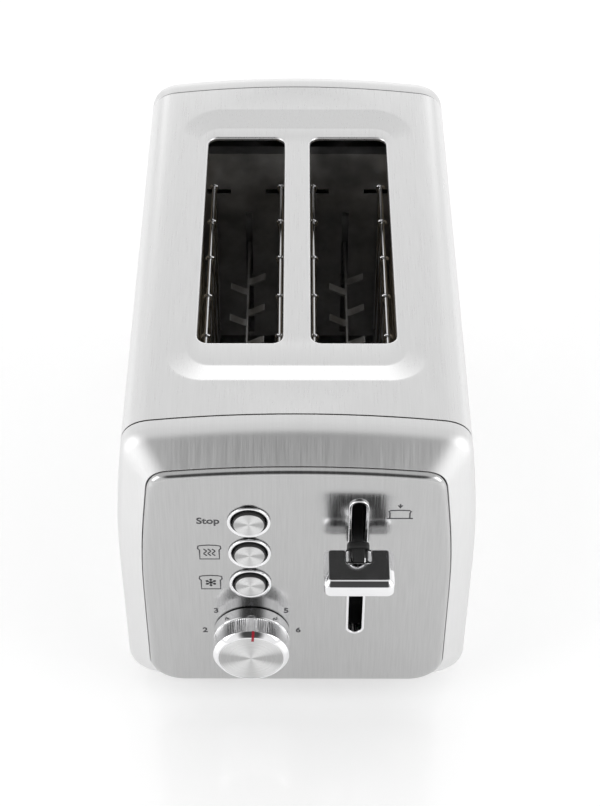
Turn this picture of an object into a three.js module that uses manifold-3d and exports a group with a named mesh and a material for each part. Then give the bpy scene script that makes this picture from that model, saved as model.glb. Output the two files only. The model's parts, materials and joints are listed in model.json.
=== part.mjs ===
// Two-slice pop-up toaster in millimetres. +X is to the right seen from the controls, +Y to the rear,
// +Z up. The origin is on the table under the middle of the object's box.

import * as THREE from 'three';
import { mergeVertices } from 'three/addons/utils/BufferGeometryUtils.js';
import Module from 'manifold-3d';

const wasm = await Module();
wasm.setup();

// ---------- Driving dimensions ----------
const bodyLength = 292;          // from the control panel's face to the rear panel's face
const bodyWidth = 164.8;         // at the widest, low on the sides
const bodyHeight = 176;          // from the table to the top of the crown
const footHeight = 2.5;          // space between the table and the body
const gap = 0.3;                 // clearance between pieces that seat on each other

const slotLength = 155;          // bread slots
const slotWidth = 39;
const slotBridge = 13.2;         // metal between the two slots
const slotOffset = 6.5;          // the slots' middle lies this far behind the shell's middle
const slotCornerRadius = 5;

const sheet = 0.8;               // shell and tray sheet thickness
const edgeEase = 0.8;            // small bevel on pressed and moulded edges
const bottomOpening = 132;       // width of the shell's open bottom, between its turned-in edges
const capWall = 1.4;             // end cap wall thickness
const liftTravel = 56;           // lever travel from rest down to the latch
const extraLift = 22;            // lever travel from rest up, to reach small slices
const guideTravel = 7;           // how far a bread guide closes in while the lever goes down

// ---------- Body section ----------
const shoulderInset = 4.8;       // the shoulders are this much narrower than the body on each side
const waistHeight = 80;          // below this height the sides are upright
const crownDrop = 4;             // fall of the crowned top over crownSpan
const crownSpan = 64;
const shoulderRun = 13.6;        // size of the shoulder's round, sideways and down
const shoulderFall = 17;
const toeRadius = 15;            // round between the side and the bottom
const sideLean = 0.114;          // inward lean of the side just under the shoulder
const radiusFade = 0.3;          // how much a corner tightens for each millimetre of inset

// ---------- Pressed recess round the slots ----------
const recessDepth = 5;
const recessFloorRadius = 10;
const recessRimRadius = 20;
const recessMargin = { side: 3.1, front: 13.6, rear: 6.3 };
const recessRun = { side: 11.3, front: 16.4, rear: 14.7 };
const slotFlangeDepth = 2;

// ---------- End caps and panels ----------
const capDepth = 24;             // seam to panel face
const capRimLength = 8.3;        // flat part of the cap next to the seam
const chamferInset = 11.5;       // width of the chamfer seen from the end
const rimRound = 3;              // the edge between rim and chamfer is rounded over this much of each
const panelProud = 3.8;          // the panel stands this far out of the chamfer's inner edge
const panelGap = 0.5;            // shadow gap round the panel
const panelEdgeRadius = 3;
const panelSkin = 2.4;
const panelSeatDepth = 5.2;      // chamfer's inner edge to the seat behind the panel
const seatInset = 15.2;           // inner edge of the seat

// ---------- Controls, measured from the recess floor down ----------
const controlX = -21.1;          // buttons and browning knob
const buttonNames = ['stop_button', 'reheat_button', 'defrost_button'];
const firstButtonDrop = 38;
const buttonSpacing = 1.9;       // between two button rings
const buttonRadius = 7.2;
const buttonRingWidth = 2.45;
const ringFlange = 1;            // a ring's front covers its hole by this much
const ringBarrel = 6;            // and its barrel reaches this far behind the panel's face
const buttonTravel = 2;
const buttonProud = 2.6;         // a button's face stands this far out of the panel at rest
const ringProud = 1.3;           // and its ring this far
const knobSpacing = 7.8;         // between the last button's ring and the knob
const knobRadius = 17.8;
const knobLength = 16.2;
const knobShaftRadius = 3;
const leverX = 27.4;
const leverDrop = 51.9;
const leverPlay = { above: 1.8, below: 4.9 };   // slot left over past the stem at each end of its travel
const leverSidePlay = 0.6;
const slotTrimWidth = 1.3;
const leverBlock = { width: 31, depth: 22, height: 10, standoff: 6.8 };
const leverNotch = { width: 6.6, depth: 7.6 };
const stemWidth = 5;
const stemHeight = 6;

// ---------- Toasting chamber, measured from the recess floor down ----------
const bulkheadThickness = 1.2;
const frontBulkheadGap = 6;      // slot end to bulkhead
const rearBulkheadGap = 5;
const bulkheadTopDrop = 14;
const bulkheadLip = 6;           // its top edge is bent outward by this much
const trayMouthPlay = { across: 2, above: 1.5, below: 12 };    // room round the tray in a bulkhead
const rackSlotPlay = { above: 2, below: 1.5 };                 // and round a rack at its travel's ends
const guideClearance = 1.7;      // rest offset of a guide wire's middle inside the slot's edge
const pinPlay = { across: 0.5, upright: 0.8 };   // room round a guide's end pin in its slot
const wireRadius = 1;
const uprightRadius = 0.94;
const pinReach = 2;              // a pin stands this far out of its bulkhead
const guideTopDrop = 31;
const guidePinDrop = 39;
const guideWireCount = 6;
const guideWirePitch = 29;
const guideWireStart = 8;        // first upright behind the slot's front edge
const rackDrop = 77;
const rackHeight = 6;
const rackThickness = 1.5;
const rackSlotWidth = 3.6;
const tabLength = 5;             // one tab along the rack
const tabReach = 9.2;            // tip of a tab from the rack's middle
const tabRise = 4.2;             // tips stand this far above the roots, so the slice sits in a shallow V
const tabThickness = 1;
const tabPairs = 5;              // each pair has a tab to the left and one to the right
const tabPitch = 24.6;
const tabStagger = 8;            // the right tab of a pair lies this far behind the left one
const firstTab = 23.6;           // first left tab behind the slot's front edge
const heaterThickness = 1;
const outerHeaterOffset = 5.9;   // outer heater card outside the slot's outer edge
const reflectorOffset = 11.4;    // reflector outside the slot's outer edge
const reflectorThickness = 0.6;
const reflectorTopDrop = 3;      // below the bulkheads' tops
const reflectorLip = 5;          // its bottom edge is bent inward by this much
const heaterInset = { below: 4, above: 6, ends: 1 };    // from the chamber's walls to the card
const bandCount = 8;             // heater bands on a card
const bandWidth = 1.6;
const bandProud = 0.4;
const bandEndInset = 6;

// ---------- Bottom ----------
const basePlateThickness = 2.5;
const basePlateBottom = 6;
const footRadius = 8.5;
const footRecess = { radius: 4.4, depth: 2 };    // round the screw's head
const screwHoleRadius = 2.3;
const screwHead = { radius: 4, bottom: 0.3, height: 1.4 };
const screwShankRadius = 2;
const screwLength = 13.3;        // under the head
const footX = 52;
const footY = 104;
const trayHeight = 7;
const trayBottom = 19.2;
const trayWidth = 108;
const trayHandleDepth = 8.3;

// ---------- Derived places ----------
const floorZ = bodyHeight - recessDepth;
const seamY = bodyLength / 2 - capDepth;
const faceY = bodyLength / 2;
const slotFrontY = slotOffset - slotLength / 2;
const slotRearY = slotOffset + slotLength / 2;
const slotX = (slotBridge + slotWidth) / 2;
const slotOuterX = slotBridge / 2 + slotWidth;
const frontBulkheadY = slotFrontY - frontBulkheadGap;
const rearBulkheadY = slotRearY + rearBulkheadGap;
const basePlateTop = basePlateBottom + basePlateThickness;
const panelInset = chamferInset + panelGap;
const guideRestOffset = slotWidth / 2 - guideClearance;
const guideBottomZ = trayBottom + trayHeight + 11.8;
const chamberBottomZ = trayBottom + trayHeight + 4;
const rackTopZ = floorZ - rackDrop;
const leverZ = floorZ - leverDrop;
const buttonRingRadius = buttonRadius + buttonRingWidth;
const buttonPitch = 2 * buttonRingRadius + buttonSpacing;
const buttonDrops = buttonNames.map((name, i) => firstButtonDrop + i * buttonPitch);
const knobDrop = buttonDrops.at(-1) + buttonRingRadius + knobSpacing + knobRadius;
const leverSlotTopZ = leverZ + extraLift + stemHeight / 2 + leverPlay.above;
const leverSlotBottomZ = leverZ - liftTravel - stemHeight / 2 - leverPlay.below;

// ---------- Solids from geometry ----------
function solid(geometry) {
  const bare = geometry.clone();
  bare.deleteAttribute('normal');
  bare.deleteAttribute('uv');
  const merged = mergeVertices(bare, 1e-3);
  const vertProperties = new Float32Array(merged.attributes.position.array);
  const triVerts = new Uint32Array(merged.index.array);
  return new wasm.Manifold(new wasm.Mesh({ numProp: 3, vertProperties, triVerts }));
}

function geometryOf(manifold) {
  const mesh = manifold.getMesh();
  const geometry = new THREE.BufferGeometry();
  geometry.setAttribute('position', new THREE.BufferAttribute(new Float32Array(mesh.vertProperties), 3));
  geometry.setIndex(new THREE.BufferAttribute(new Uint32Array(mesh.triVerts), 1));
  geometry.computeVertexNormals();
  return geometry;
}

function union(...solids) {
  return solids.reduce((whole, next) => whole.add(next));
}

function box(x, y, z) {
  const geometry = new THREE.BoxGeometry(x[1] - x[0], y[1] - y[0], z[1] - z[0]);
  geometry.translate((x[0] + x[1]) / 2, (y[0] + y[1]) / 2, (z[0] + z[1]) / 2);
  return solid(geometry);
}

function shapeOf(points) {
  return new THREE.Shape(points);
}

// A shape drawn in X and Z, extruded along Y.
function prismY(points, y) {
  const options = { depth: y[1] - y[0], bevelEnabled: false };
  const geometry = new THREE.ExtrudeGeometry(shapeOf(points), options);
  geometry.rotateX(Math.PI / 2);
  geometry.translate(0, y[1], 0);
  return solid(geometry);
}

// A shape drawn in X and Y, extruded along Z.
function prismZ(points, z) {
  const geometry = new THREE.ExtrudeGeometry(shapeOf(points), { depth: z[1] - z[0], bevelEnabled: false });
  geometry.translate(0, 0, z[0]);
  return solid(geometry);
}

function rodY(x, z, radius, y, sides = 6) {
  const geometry = new THREE.CylinderGeometry(radius, radius, y[1] - y[0], sides);
  geometry.translate(x, (y[0] + y[1]) / 2, z);
  return solid(geometry);
}

function rodZ(x, y, radius, z, sides = 6) {
  const geometry = new THREE.CylinderGeometry(radius, radius, z[1] - z[0], sides);
  geometry.rotateX(Math.PI / 2);
  geometry.translate(x, y, (z[0] + z[1]) / 2);
  return solid(geometry);
}

// A profile of [radius, y] pairs turned about a line along Y through x, z.
function turnedY(profile, x, z, sides) {
  const points = profile.map(([radius, y]) => new THREE.Vector2(radius, y));
  const geometry = new THREE.LatheGeometry(points, sides);
  geometry.translate(x, 0, z);
  return outward(geometry);
}

// A profile of [radius, z] pairs turned about an upright line through x, y.
function turnedZ(profile, x, y, sides) {
  const points = profile.map(([radius, z]) => new THREE.Vector2(radius, z));
  const geometry = new THREE.LatheGeometry(points, sides);
  geometry.rotateX(Math.PI / 2);
  geometry.translate(x, y, 0);
  return outward(geometry);
}

function signedVolume(geometry) {
  const position = geometry.attributes.position;
  const index = geometry.index.array;
  const corner = [new THREE.Vector3(), new THREE.Vector3(), new THREE.Vector3()];
  let volume = 0;
  for (let i = 0; i < index.length; i += 3) {
    corner.forEach((point, k) => point.fromBufferAttribute(position, index[i + k]));
    volume += corner[0].dot(corner[1].clone().cross(corner[2])) / 6;
  }
  return volume;
}

// The solid of a closed surface whose triangles may all face in.
function outward(geometry) {
  if (signedVolume(geometry) < 0) {
    const index = geometry.index.array;
    for (let i = 0; i < index.length; i += 3) {
      [index[i], index[i + 1]] = [index[i + 1], index[i]];
    }
  }
  return solid(geometry);
}

// A skin over rings of equally many points. A closed skin joins its last ring to its first,
// and an open one is capped flat at both ends, seen along capAxis.
function skin(rings, { closed = false, flatten = null } = {}) {
  const count = rings[0].length;
  const positions = rings.flat().flatMap((point) => [point.x, point.y, point.z]);
  const index = [];
  const bands = closed ? rings.length : rings.length - 1;
  for (let r = 0; r < bands; r += 1) {
    const next = (r + 1) % rings.length;
    for (let i = 0; i < count; i += 1) {
      const j = (i + 1) % count;
      const [a, b, c, d] = [r * count + i, r * count + j, next * count + j, next * count + i];
      index.push(a, b, c, a, c, d);
    }
  }
  if (!closed) {
    const last = (rings.length - 1) * count;
    const faces = THREE.ShapeUtils.triangulateShape(rings[0].map(flatten), []);
    const turns = THREE.ShapeUtils.isClockWise(rings[0].map(flatten));
    for (const [a, b, c] of faces) {
      index.push(...(turns ? [a, b, c] : [a, c, b]));
    }
    for (const [a, b, c] of THREE.ShapeUtils.triangulateShape(rings.at(-1).map(flatten), [])) {
      index.push(...(turns ? [last + a, last + c, last + b] : [last + a, last + b, last + c]));
    }
  }
  const geometry = new THREE.BufferGeometry();
  geometry.setAttribute('position', new THREE.Float32BufferAttribute(positions, 3));
  geometry.setIndex(new THREE.BufferAttribute(new Uint32Array(index), 1));
  return outward(geometry);
}

// ---------- Outlines ----------
function crownHeight(x) {
  return bodyHeight - crownDrop * (x / crownSpan) ** 2;
}

// The body's section in X and Z, moved in by inset, counter-clockwise from the bottom's middle.
function bodyOutline(inset) {
  const half = bodyWidth / 2 - inset;
  const bottom = footHeight + inset;
  const shoulderHalf = half - shoulderInset;
  const fade = radiusFade * inset;
  const crownHalf = shoulderHalf - shoulderRun + fade;
  const shoulderZ = crownHeight(crownHalf) - inset;
  const sideTopZ = bodyHeight - inset - shoulderFall + fade;
  const crownSlope = 2 * crownDrop * crownHalf / crownSpan ** 2;
  const cornerZ = (shoulderZ - crownSlope * (shoulderHalf - crownHalf + sideLean * sideTopZ))
    / (1 - crownSlope * sideLean);
  const cornerX = shoulderHalf - sideLean * (cornerZ - sideTopZ);
  const reach = (sideTopZ - waistHeight) * 0.4;

  const toe = new THREE.Path();
  toe.moveTo(0, bottom);
  toe.absarc(half - toeRadius, bottom + toeRadius, toeRadius, -Math.PI / 2, 0);
  const side = new THREE.CubicBezierCurve(
    new THREE.Vector2(half, waistHeight),
    new THREE.Vector2(half, waistHeight + reach),
    new THREE.Vector2(shoulderHalf + sideLean * reach, sideTopZ - reach),
    new THREE.Vector2(shoulderHalf, sideTopZ),
  );
  const shoulder = new THREE.QuadraticBezierCurve(
    new THREE.Vector2(shoulderHalf, sideTopZ),
    new THREE.Vector2(cornerX, cornerZ),
    new THREE.Vector2(crownHalf, shoulderZ),
  );
  const crown = new THREE.QuadraticBezierCurve(
    new THREE.Vector2(crownHalf, shoulderZ),
    new THREE.Vector2(crownHalf / 2, bodyHeight - inset),
    new THREE.Vector2(0, bodyHeight - inset),
  );
  const right = [
    ...toe.getPoints(3),
    ...side.getPoints(5),
    ...shoulder.getPoints(6).slice(1),
    ...crown.getPoints(4).slice(1),
  ];
  const left = right.slice(1, -1).reverse().map((point) => new THREE.Vector2(-point.x, point.y));
  return [...right, ...left];
}

function bodyRing(y, inset) {
  return bodyOutline(inset).map((point) => new THREE.Vector3(point.x, y, point.y));
}

const seenFromFront = (point) => new THREE.Vector2(point.x, point.z);
const seenFromAbove = (point) => new THREE.Vector2(point.x, point.y);

// A rounded rectangle by its two ranges, counter-clockwise.
function roundedRectangle(across, along, radius, steps = 3) {
  const path = new THREE.Path();
  path.absarc(across[1] - radius, along[0] + radius, radius, -Math.PI / 2, 0);
  path.absarc(across[1] - radius, along[1] - radius, radius, 0, Math.PI / 2);
  path.absarc(across[0] + radius, along[1] - radius, radius, Math.PI / 2, Math.PI);
  path.absarc(across[0] + radius, along[0] + radius, radius, Math.PI, 3 * Math.PI / 2);
  const points = path.getPoints(steps);
  return points[0].distanceTo(points.at(-1)) < 1e-6 ? points.slice(0, -1) : points;
}

function slotOutline(side, grow) {
  const centre = side * slotX;
  const half = slotWidth / 2 + grow;
  return roundedRectangle(
    [centre - half, centre + half],
    [slotFrontY - grow, slotRearY + grow],
    slotCornerRadius + grow,
  );
}

// The recess as a solid above its pressed surface, moved out by grow all round.
function recess(grow) {
  const floorHalf = slotOuterX + recessMargin.side + grow;
  const floorAlong = [slotFrontY - recessMargin.front - grow, slotRearY + recessMargin.rear + grow];
  const rimHalf = floorHalf + recessRun.side;
  const rimAlong = [floorAlong[0] - recessRun.front, floorAlong[1] + recessRun.rear];
  const floor = roundedRectangle([-floorHalf, floorHalf], floorAlong, recessFloorRadius + grow);
  const rim = roundedRectangle([-rimHalf, rimHalf], rimAlong, recessRimRadius + grow);
  return skin([
    floor.map((point) => new THREE.Vector3(point.x, point.y, floorZ - grow)),
    rim.map((point) => new THREE.Vector3(point.x, point.y, crownHeight(point.x) - grow)),
    rim.map((point) => new THREE.Vector3(point.x, point.y, crownHeight(point.x) + capDepth)),
  ], { flatten: seenFromAbove });
}

const sides = { left: -1, right: 1 };
const ends = { front: -1, rear: 1 };

// ---------- Casing ----------
function outerShell() {
  const along = [-seamY + gap / 2, seamY - gap / 2];
  const cavity = prismY(bodyOutline(sheet), [along[0] - 1, along[1] + 1]).subtract(recess(sheet));
  const across = [-bottomOpening / 2, bottomOpening / 2];
  const openBottom = roundedRectangle(across, [along[0] - 1, along[1] + 1], gap);
  let shell = prismY(bodyOutline(0), along).subtract(recess(0)).subtract(cavity);
  shell = shell.subtract(prismZ(openBottom, [0, basePlateBottom]));
  for (const side of Object.values(sides)) {
    const flange = prismZ(slotOutline(side, sheet), [floorZ - slotFlangeDepth, floorZ - sheet / 2]);
    const opening = prismZ(slotOutline(side, 0), [floorZ - 2 * slotFlangeDepth, floorZ + sheet]);
    shell = shell.add(flange).subtract(opening);
  }
  return shell;
}

// A pressed ring: rim at the seam, chamfer, groove round the panel and the seat behind it.
function endCap(end) {
  const chamferEnd = faceY - panelProud;
  const rimEnd = seamY + capRimLength;
  const seatFront = chamferEnd - panelSeatDepth;
  const seatBack = seatFront - capWall;
  const slope = chamferInset / (chamferEnd - rimEnd);
  const innerCorner = (seatBack - rimEnd) * slope + capWall + edgeEase;
  const profile = [
    [seamY + gap / 2, 0],
    [rimEnd - rimRound, 0],
    [rimEnd, rimRound * slope / 4],
    [rimEnd + rimRound, rimRound * slope],
    [chamferEnd - edgeEase, chamferInset - edgeEase * slope],
    [chamferEnd, chamferInset - gap],
    [chamferEnd - gap, chamferInset],
    [seatFront, chamferInset],
    [seatFront, seatInset],
    [seatBack, seatInset],
    [seatBack, innerCorner],
    [rimEnd, capWall],
    [seamY + gap / 2, capWall],
  ];
  return skin(profile.map(([y, inset]) => bodyRing(end * y, inset)), { closed: true });
}

// A panel is a shallow pan with a rounded edge, open at the back.
function panelBlank(end) {
  const back = faceY - panelProud - panelSeatDepth + gap;
  const rings = [bodyRing(end * back, panelInset)];
  for (const angle of [0, 30, 60, 90].map(THREE.MathUtils.degToRad)) {
    const y = faceY - panelEdgeRadius * (1 - Math.sin(angle));
    rings.push(bodyRing(end * y, panelInset + panelEdgeRadius * (1 - Math.cos(angle))));
  }
  const pocket = [end * (back - 1), end * (faceY - panelSkin)].sort((a, b) => a - b);
  return skin(rings, { flatten: seenFromFront })
    .subtract(prismY(bodyOutline(panelInset + panelEdgeRadius), pocket));
}

function throughPanel(end) {
  return [end * (faceY - 2 * panelSkin), end * (faceY + 1)].sort((a, b) => a - b);
}

function leverSlot(grow) {
  const half = stemWidth / 2 + leverSidePlay + grow;
  const upright = [leverSlotBottomZ - grow, leverSlotTopZ + grow];
  return roundedRectangle([leverX - half, leverX + half], upright, half - 0.01, 3);
}

function controlPanel() {
  let panel = panelBlank(ends.front);
  for (const drop of buttonDrops) {
    const hole = buttonRingRadius - ringFlange;
    panel = panel.subtract(rodY(controlX, floorZ - drop, hole, throughPanel(ends.front), 20));
  }
  const shaftHole = knobShaftRadius + 2 * gap;
  panel = panel.subtract(rodY(controlX, floorZ - knobDrop, shaftHole, throughPanel(ends.front), 16));
  return panel.subtract(prismY(leverSlot(slotTrimWidth - 2 * gap), throughPanel(ends.front)));
}

const glandX = -44;
const glandZ = 62;
const glandBore = 4;
const glandRadius = 7;

function rearPanel() {
  const mouth = roundedRectangle(
    [-trayWidth / 2 - gap, trayWidth / 2 + gap],
    [trayBottom - gap, trayBottom + trayHeight + gap],
    1,
    2,
  );
  const hole = rodY(glandX, glandZ, glandRadius + gap, throughPanel(ends.rear), 18);
  return panelBlank(ends.rear).subtract(prismY(mouth, throughPanel(ends.rear))).subtract(hole);
}

function cordGland() {
  const flange = glandRadius + 2.5;
  const outer = faceY + gap;
  return turnedY([
    [glandBore, faceY - 8],
    [glandRadius, faceY - 8],
    [glandRadius, outer],
    [flange, outer],
    [flange, outer + 1.6],
    [glandBore + 1.6, outer + 4],
    [glandBore, outer + 4],
    [glandBore, faceY - 8],
  ], glandX, glandZ, 18);
}

function basePlate() {
  const half = bodyWidth / 2 - toeRadius + gap;
  const along = seamY + capRimLength - basePlateThickness;
  const outline = roundedRectangle([-half, half], [-along, along], 4);
  let plate = prismZ(outline, [basePlateBottom, basePlateTop]);
  for (const side of Object.values(sides)) {
    for (const end of Object.values(ends)) {
      plate = plate.subtract(rodZ(side * footX, end * footY, screwHoleRadius, [0, 2 * basePlateTop], 12));
    }
  }
  return plate;
}

function foot(side, end) {
  const top = basePlateBottom - gap;
  return turnedZ([
    [screwHoleRadius, footRecess.depth],
    [footRecess.radius, footRecess.depth],
    [footRecess.radius, 0],
    [footRadius - edgeEase, 0],
    [footRadius, edgeEase],
    [footRadius - edgeEase, top],
    [screwHoleRadius, top],
    [screwHoleRadius, footRecess.depth],
  ], side * footX, end * footY, 14);
}

function baseScrew(side, end) {
  const headTop = screwHead.bottom + screwHead.height;
  const tip = headTop + screwLength;
  return turnedZ([
    [0, screwHead.bottom],
    [screwHead.radius - gap, screwHead.bottom],
    [screwHead.radius, headTop],
    [screwShankRadius, headTop],
    [screwShankRadius, tip - screwShankRadius],
    [0, tip],
  ], side * footX, end * footY, 12);
}

// ---------- Controls ----------
function leverSlotTrim() {
  const outside = prismY(leverSlot(slotTrimWidth), [-faceY - 1, -faceY - gap]);
  const barrel = prismY(leverSlot(slotTrimWidth - 3 * gap), [-faceY - gap - 0.1, -faceY + panelSkin + 1.6]);
  return outside.add(barrel).subtract(prismY(leverSlot(0), [-faceY - 2, -faceY + 2 * panelSkin]));
}

function buttonRing(drop) {
  const bore = buttonRadius + gap;
  const barrel = buttonRingRadius - ringFlange - gap;
  const ringBack = -faceY + ringBarrel;
  return turnedY([
    [bore, ringBack],
    [barrel, ringBack],
    [barrel, -faceY - gap],
    [buttonRingRadius, -faceY - gap],
    [buttonRingRadius, -faceY - ringProud / 2],
    [buttonRingRadius - edgeEase, -faceY - ringProud],
    [bore + edgeEase, -faceY - ringProud],
    [bore, -faceY - ringProud / 2],
    [bore, ringBack],
  ], controlX, floorZ - drop, 20);
}

const boardY = -faceY + 28;      // front of the control board
const buttonSkirt = 7;           // depth behind the panel's face at which a button narrows to its stem
const buttonStemRadius = 2;
const boardThickness = 1.6;
const switchDepth = 4;

function button(drop) {
  const stemEnd = boardY - switchDepth - buttonTravel - gap;
  return turnedY([
    [0, -faceY - buttonProud],
    [buttonRadius - edgeEase, -faceY - buttonProud],
    [buttonRadius, -faceY - buttonProud + edgeEase],
    [buttonRadius, -faceY + buttonSkirt],
    [buttonStemRadius, -faceY + buttonSkirt],
    [buttonStemRadius, stemEnd],
    [0, stemEnd],
  ], controlX, floorZ - drop, 20);
}

const switchHalf = 3;
const plungerRadius = 1.7;
const plungerProud = 0.9;        // plunger in front of its switch's case

function switchBody(drop) {
  const z = floorZ - drop;
  const front = boardY - switchDepth;
  const base = [front + plungerProud, boardY - gap];
  const plunger = rodY(controlX, z, plungerRadius, [front, base[1]], 12);
  return box([controlX - switchHalf, controlX + switchHalf], base, [z - switchHalf, z + switchHalf]).add(plunger);
}

const boardReach = { left: 40, right: 15, below: 14, above: 10 };   // past the knob and the first button
const standoffOffset = 34;       // standoffs to the left of the buttons

function controlBoard() {
  const upright = [floorZ - knobDrop - boardReach.below, floorZ - firstButtonDrop + boardReach.above];
  const across = [controlX - boardReach.left, controlX + boardReach.right];
  return box(across, [boardY, boardY + boardThickness], upright);
}

function boardStandoff(drop) {
  const along = [-faceY + panelSkin + gap, boardY - gap];
  return rodY(controlX - standoffOffset, floorZ - drop, 3, along, 12);
}

const knobBack = -faceY - 0.5;
const knobBevel = 1.9;
const knobSkin = 5;              // solid front of the knob before its bore

function browningKnob() {
  const front = knobBack - knobLength;
  const bore = knobShaftRadius + gap / 2;
  return turnedY([
    [0, front],
    [knobRadius - knobBevel, front],
    [knobRadius, front + knobBevel],
    [knobRadius, knobBack],
    [bore, knobBack],
    [bore, front + knobSkin],
    [0, front + knobSkin],
  ], controlX, floorZ - knobDrop, 30);
}

const potDepth = 8;
const potRadius = 8.5;

function knobShaft() {
  return rodY(controlX, floorZ - knobDrop, knobShaftRadius, [
    knobBack - knobLength + knobSkin + gap,
    boardY - gap - potDepth - gap,
  ], 16);
}

function potentiometer() {
  return rodY(controlX, floorZ - knobDrop, potRadius, [boardY - gap - potDepth, boardY - gap], 20);
}

// ---------- Toasting chamber ----------
function guideX(side, wall) {
  return side * (slotX + wall * guideRestOffset);
}

// A pin's slot in a bulkhead: it reaches from the extra lift's end to the closed end, with play.
function pinSlot(side, wall) {
  const rest = guideX(side, wall);
  const opened = rest + side * wall * guideTravel * extraLift / liftTravel;
  const closed = rest - side * wall * guideTravel;
  const sideways = wireRadius + pinPlay.across;
  const upright = wireRadius + pinPlay.upright;
  const pinZ = floorZ - guidePinDrop;
  return [
    [Math.min(opened, closed) - sideways, Math.max(opened, closed) + sideways],
    [pinZ - upright, pinZ + upright],
  ];
}

function bulkhead(end) {
  const y = end < 0 ? frontBulkheadY : rearBulkheadY;
  const through = [y - 10, y + 10];
  const half = bodyWidth / 2 - shoulderInset - shoulderRun;
  const top = floorZ - bulkheadTopDrop;
  const thick = [y - bulkheadThickness / 2, y + bulkheadThickness / 2];
  const plate = box([-half, half], thick, [basePlateTop + gap, top]);
  const lipAlong = [y - end * bulkheadThickness / 2, y + end * bulkheadLip].sort((a, b) => a - b);
  let wall = plate.add(box([-half, half], lipAlong, [top - bulkheadThickness, top]));
  const mouthHalf = trayWidth / 2 + trayMouthPlay.across;
  const mouthUpright = [trayBottom - trayMouthPlay.below, trayBottom + trayHeight + trayMouthPlay.above];
  wall = wall.subtract(box([-mouthHalf, mouthHalf], through, mouthUpright));
  const rackSlot = [
    rackTopZ - liftTravel - rackHeight - rackSlotPlay.below,
    rackTopZ + extraLift + rackSlotPlay.above,
  ];
  for (const side of Object.values(sides)) {
    const across = [side * slotX - rackSlotWidth / 2, side * slotX + rackSlotWidth / 2];
    wall = wall.subtract(box(across, through, rackSlot));
    for (const wallSide of [-1, 1]) {
      const [pinAcross, pinUpright] = pinSlot(side, wallSide);
      wall = wall.subtract(box(pinAcross, through, pinUpright));
    }
  }
  return wall;
}

const chamberAlong = [
  frontBulkheadY + bulkheadThickness / 2 + gap,
  rearBulkheadY - bulkheadThickness / 2 - gap,
];

function reflector(side) {
  const x = side * (slotOuterX + reflectorOffset);
  const top = floorZ - bulkheadTopDrop - reflectorTopDrop;
  const half = reflectorThickness / 2;
  const across = [x - half, x + half];
  const lipAcross = [x - side * half, x - side * reflectorLip].sort((a, b) => a - b);
  return box(across, chamberAlong, [chamberBottomZ, top])
    .add(box(lipAcross, chamberAlong, [chamberBottomZ, chamberBottomZ + reflectorThickness]));
}

// A mica card wound with flat heater bands that stand out of its faces.
function heater(x, faces) {
  const half = heaterThickness / 2;
  const upright = [chamberBottomZ + heaterInset.below, floorZ - bulkheadTopDrop - heaterInset.above];
  const along = [chamberAlong[0] + heaterInset.ends, chamberAlong[1] - heaterInset.ends];
  let card = box([x - half, x + half], along, upright);
  const pitch = (upright[1] - upright[0]) / bandCount;
  const across = [x - half - (faces[0] ? bandProud : 0), x + half + (faces[1] ? bandProud : 0)];
  const bandAlong = [along[0] + bandEndInset, along[1] - bandEndInset];
  for (let i = 0; i < bandCount; i += 1) {
    const z = upright[0] + pitch * (i + 0.5);
    card = card.add(box(across, bandAlong, [z - bandWidth / 2, z + bandWidth / 2]));
  }
  return card;
}

// Bent wire frame that keeps the bread off the heater: two rods, uprights and an end pin at each end.
function breadGuide(side, wall) {
  const x = guideX(side, wall);
  const topZ = floorZ - guideTopDrop;
  const pinZ = floorZ - guidePinDrop;
  const first = slotFrontY + guideWireStart;
  const last = first + guideWirePitch * (guideWireCount - 1);
  const rods = [topZ, guideBottomZ].map((z) => rodY(x, z, wireRadius, [first - wireRadius, last + wireRadius]));
  const pins = [
    rodY(x, pinZ, wireRadius, [frontBulkheadY - bulkheadThickness - pinReach, first]),
    rodY(x, pinZ, wireRadius, [last, rearBulkheadY + bulkheadThickness + pinReach]),
  ];
  const uprights = [];
  for (let i = 0; i < guideWireCount; i += 1) {
    const y = first + guideWirePitch * i;
    uprights.push(rodZ(x, y, uprightRadius, [guideBottomZ - gap, topZ + wireRadius + gap]));
  }
  return union(...rods, ...uprights, ...pins);
}

// ---------- Lift carriage ----------
const crossbarFront = frontBulkheadY - 6.4;
const crossbarBack = frontBulkheadY - 4.4;
const rodAxisY = crossbarFront - 11;
const rodRadius = 3;
const hubHalf = 9;
const hubHeight = 24;
const armatureX = [-52, -36];
const armatureThickness = 3;
const armatureAlong = [crossbarFront - 18, crossbarFront - 4];
const wingZ = rackTopZ + 8;

function carriageSlider() {
  const bar = box([armatureX[0] - 2, leverX + 7], [crossbarFront, crossbarBack], [rackTopZ - rackHeight, wingZ]);
  const leverTab = box([leverX - 7, leverX + 7], [crossbarFront, crossbarBack], [wingZ - 1, leverZ + 6]);
  const wing = box([armatureX[0] - 2, armatureX[1] + 4], [armatureAlong[0] - 2, crossbarBack], [wingZ - 2, wingZ]);
  const hubAlong = [rodAxisY - hubHalf, crossbarFront + 0.5];
  const hub = box([-hubHalf, hubHalf], hubAlong, [wingZ - hubHeight, wingZ]);
  const bore = rodZ(0, rodAxisY, rodRadius + gap, [0, bodyHeight], 16);
  return union(bar, leverTab, wing, hub).subtract(bore);
}

function armature() {
  return box(armatureX, armatureAlong, [wingZ - 2 - gap - armatureThickness, wingZ - 2 - gap]);
}

const coreTop = wingZ - 2 - gap - armatureThickness - liftTravel - 0.5;
const coreBack = 5;
const legWidth = 3.4;

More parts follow.
